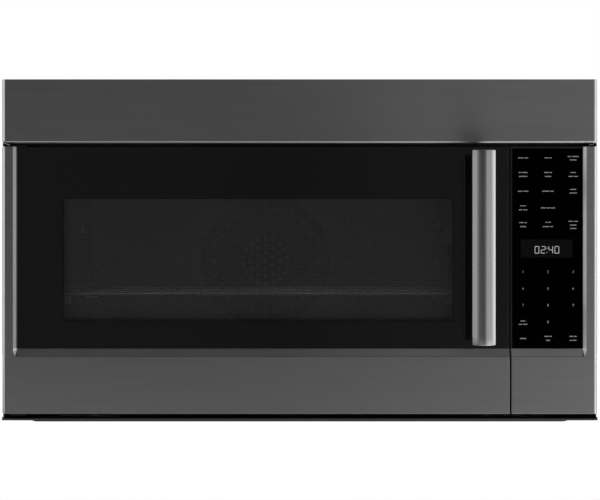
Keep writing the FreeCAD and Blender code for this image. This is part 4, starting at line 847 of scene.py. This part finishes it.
def clock():
    """Seven segment digits behind the glass, shown on its face."""
    bm = bmesh.new()
    zt, zb = 0.22745, 0.21800
    zm = (zt + zb) / 2
    dw, t = 0.0058, 0.00082
    y0, y1 = YG - 0.00005, YG + 0.00002

    def bar(xa, za, xb, zb_):
        if abs(xa - xb) < 1e-9:
            lo, hi = sorted((za, zb_))
            slab(bm, [(xa - t / 2, lo), (xa + t / 2, lo), (xa + t / 2, hi), (xa - t / 2, hi)], y0, y1)
        else:
            lo, hi = sorted((xa, xb))
            slab(bm, [(lo, za - t / 2), (hi, za - t / 2), (hi, za + t / 2), (lo, za + t / 2)], y0, y1)

    for ch, x in (("0", 0.29985), ("2", 0.30780), ("4", 0.31735), ("0", 0.32525)):
        l, r = x + t / 2, x + dw - t / 2
        g = 0.00012
        seg = {
            "a": (l + t / 2 + g, zt - t / 2, r - t / 2 - g, zt - t / 2), "d": (l + t / 2 + g, zb + t / 2, r - t / 2 - g, zb + t / 2),
            "g": (l + t / 2 + g, zm, r - t / 2 - g, zm),
            "f": (l, zm + g, l, zt - t * 0.4), "b": (r, zm + g, r, zt - t * 0.4),
            "e": (l, zb + t * 0.4, l, zm - g), "c": (r, zb + t * 0.4, r, zm - g),
        }
        for s in SEG[ch]:
            bar(*seg[s])
    for z in (zm + 0.0021, zm - 0.0033):
        slab(bm, pill(0.31490, 0.31595, z - 0.00052, z + 0.00052), y0, y1)
    me = bpy.data.meshes.new("clock_digits")
    bm.to_mesh(me)
    bm.free()
    o = bpy.data.objects.new("clock_digits", me)
    bpy.context.scene.collection.objects.link(o)
    me.materials.append(LED)
    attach(o, "cabinet")


clock()


# ------------------------------------------------------------------ grease filters: diamond net over the pad
def filter_mesh(side, x0, x1):
    y0, y1 = -0.0318, 0.1038
    z, w, t = 0.0021, 0.00042, 0.00030
    px, py = 0.0072, 0.0044                      # diamond width and height
    verts, faces = [], []

    def strand(p, q, lift):
        d = Vector((q[0] - p[0], q[1] - p[1], 0))
        n = max(1, int(round(d.length / 0.00422)))
        u = d.normalized()
        s = Vector((-u.y, u.x, 0))
        base = len(verts)
        for i in range(n + 1):
            c = Vector((p[0], p[1], z)) + d * (i / n)
            c.z += 0.00022 * (1 if (i + lift) % 2 else -1)
            for a, b in ((1, 0), (0, 1), (-1, 0), (0, -1)):
                verts.append(tuple(c + s * (a * w) + Vector((0, 0, b * t))))
        for i in range(n):
            for k in range(4):
                a, b = base + i * 4 + k, base + i * 4 + (k + 1) % 4
                faces.append((a, b, b + 4, a + 4))
        faces.append((base + 3, base + 2, base + 1, base))
        e = base + n * 4
        faces.append((e, e + 1, e + 2, e + 3))

    slope = py / px
    h = y1 - y0
    run = h / slope
    k = 0
    x = x0 - run
    while x < x1:
        for sgn in (1, -1):
            # line through (x, y0) rising to the right, or (x, y1) falling to the right, clipped to the frame
            a, b = max(x, x0), min(x + run, x1)
            if b - a > 0.004:
                ya, yb = (a - x) * slope, (b - x) * slope
                if sgn > 0:
                    strand((a, y0 + ya), (b, y0 + yb), k)
                else:
                    strand((a, y1 - ya), (b, y1 - yb), k + 1)
        x += px
        k += 1
    obj_from(f"grease_filter_weave_{side}", verts, faces, M["alu"], f"filter_{side}", smooth=True)


filter_mesh("left", -0.3219, -0.0701)
filter_mesh("right", 0.0681, 0.3199)


# ------------------------------------------------------------------ floor, world and lights
def floor():
    me = bpy.data.meshes.new("floor")
    me.from_pydata([(-0.85, -0.62, -0.0004), (0.85, -0.62, -0.0004), (0.85, 0.85, -0.0004), (-0.85, 0.85, -0.0004)], [], [(0, 1, 2, 3)])
    o = bpy.data.objects.new("floor", me)
    bpy.context.scene.collection.objects.link(o)
    a = Mat("floor_paper").set()
    n = a.noise(3.0, 3.0)
    a.color(a.mix(a.remap(n, 0.3, 0.7, 0, 1), (0.60, 0.60, 0.60), (0.64, 0.64, 0.64)))
    a.rough(a.remap(n, 0.3, 0.7, 0.7, 0.8))
    a.p.inputs["Specular IOR Level"].default_value = 0.0
    a.p.inputs["Emission Color"].default_value = (1, 1, 1, 1)
    a.p.inputs["Emission Strength"].default_value = 1.0
    me.materials.append(a.m)
    o.visible_glossy = False


floor()


# light by compass direction round the object, 0 is the front, positive to the right: level, above, below
LEVEL = [(-180, 0.7), (-140, 0.3), (-115, 0.2), (-95, 0.5), (-80, 0.4), (-68, 0.8), (-56, 1.1), (-46, 0.7), (-36, 0.28), (-20, 0.14),
         (0, 0.1), (16, 0.2), (26, 1.0), (40, 0.8), (60, 0.8), (80, 1.9), (90, 2.4), (105, 2.1), (130, 1.3), (180, 0.7)]
ABOVE = [(-180, 0.5), (-80, 0.8), (-50, 0.0), (0, 0.02), (50, 0.0), (80, 0.6), (180, 0.5)]
BELOW = [(-180, 0.2), (-50, 0.0), (-20, 0.85), (0, 0.4), (20, 1.0), (50, 2.8), (100, 0.8), (180, 0.2)]
OVERHEAD = 0.08


def world():
    w = bpy.data.worlds.new("studio")
    bpy.context.scene.world = w
    w.use_nodes = True
    nt = w.node_tree
    nt.nodes.clear()
    out = nt.nodes.new("ShaderNodeOutputWorld")
    mixer = nt.nodes.new("ShaderNodeMixShader")
    lp = nt.nodes.new("ShaderNodeLightPath")
    seen = nt.nodes.new("ShaderNodeBackground")
    seen.inputs[0].default_value = (1, 1, 1, 1)
    seen.inputs[1].default_value = 1.0
    lit = nt.nodes.new("ShaderNodeBackground")
    lit.inputs[1].default_value = 1.0
    tc = nt.nodes.new("ShaderNodeTexCoord")
    sep = nt.nodes.new("ShaderNodeSeparateXYZ")
    nt.links.new(tc.outputs["Generated"], sep.inputs[0])
    x, y, z = sep.outputs

    def mth(op, a, b=None, c=None):
        n = nt.nodes.new("ShaderNodeMath")
        n.operation = op
        for i, v in enumerate((a, b, c)):
            if v is None:
                continue
            if isinstance(v, (int, float)):
                n.inputs[i].default_value = v
            else:
                nt.links.new(v, n.inputs[i])
        return n.outputs[0]

    def mr(v, a, b, c, d):
        n = nt.nodes.new("ShaderNodeMapRange")
        n.interpolation_type = "SMOOTHSTEP"
        nt.links.new(v, n.inputs[0])
        for i, q in enumerate((a, b, c, d)):
            n.inputs[i + 1].default_value = q
        return n.outputs[0]

    az = mth("MULTIPLY_ADD", mth("ARCTAN2", x, mth("MULTIPLY", y, -1.0)), 1 / (2 * math.pi), 0.5)

    def band(name, stops):
        ramp = nt.nodes.new("ShaderNodeValToRGB")
        ramp.name = name
        e = ramp.color_ramp.elements
        while len(e) > 1:
            e.remove(e[-1])
        for i, (deg, val) in enumerate(stops):
            el = e[0] if i == 0 else e.new((deg + 180) / 360)
            el.position = (deg + 180) / 360
            el.color = (val / 4, val / 4, val / 4, 1)
        nt.links.new(az, ramp.inputs[0])
        return mth("MULTIPLY", ramp.outputs[0], 4.0)

    high = mr(z, 0.20, 0.42, 0.0, 1.0)
    low = mr(z, -0.30, -0.08, 1.0, 0.0)
    cap = mr(z, 0.80, 0.95, 0.0, 1.0)
    level = mth("SUBTRACT", mth("SUBTRACT", 1.0, high), low)
    v = mth("ADD", mth("MULTIPLY", band("level", LEVEL), level), mth("MULTIPLY", band("below", BELOW), low))
    v = mth("ADD", v, mth("MULTIPLY", band("above", ABOVE), mth("SUBTRACT", high, cap)))
    top = mth("MULTIPLY", cap, OVERHEAD)
    top.node.name = "cap"
    v = mth("ADD", v, top)
    nt.links.new(v, lit.inputs[0])
    nt.links.new(lp.outputs["Is Camera Ray"], mixer.inputs[0])
    nt.links.new(lit.outputs[0], mixer.inputs[1])
    nt.links.new(seen.outputs[0], mixer.inputs[2])
    nt.links.new(mixer.outputs[0], out.inputs[0])


world()


def area(name, az, elev, dist, w, h, radiance, target=(0, 0, 0.22)):
    """Soft box at an azimuth (0 is the camera's side, positive to the right) facing the target."""
    ld = bpy.data.lights.new(name, "AREA")
    ld.shape = "RECTANGLE"
    ld.size, ld.size_y = w, h
    ld.energy = radiance * math.pi * w * h
    ob = bpy.data.objects.new(name, ld)
    a, e = math.radians(az), math.radians(elev)
    t = Vector(target)
    d = Vector((math.sin(a) * math.cos(e), -math.cos(a) * math.cos(e), math.sin(e)))
    ob.location = t + d * dist
    ob.rotation_euler = (-d).to_track_quat("-Z", "Y").to_euler()
    ob.visible_camera = False
    bpy.context.scene.collection.objects.link(ob)
    return ob


area("key", 18, 36, 1.0, 0.22, 0.22, 0.6)
area("side_left", -72, 4, 1.0, 0.35, 0.6, 1.0)
# long low box in front of the foot
low_data = bpy.data.lights.new("low_front", "AREA")
low_data.shape = "RECTANGLE"
low_data.size, low_data.size_y = 1.1, 0.12
low_data.energy = 0.2 * math.pi * 1.1 * 0.12
low = bpy.data.objects.new("low_front", low_data)
low.location = (0, -0.26, 0.004)
low.rotation_euler = (math.radians(180), 0, 0)
low.visible_camera = False
bpy.context.scene.collection.objects.link(low)
# faint glow under the cavity ceiling, on the rack and the tray
glow_data = bpy.data.lights.new("cavity_glow", "AREA")
glow_data.shape = "RECTANGLE"
glow_data.size, glow_data.size_y = 0.53, 0.05
glow_data.energy = 0.9 * math.pi * 0.53 * 0.05
glow = bpy.data.objects.new("cavity_glow", glow_data)
glow.location = (-0.054, -0.110, 0.3225)
glow.visible_camera = False
bpy.context.scene.collection.objects.link(glow)
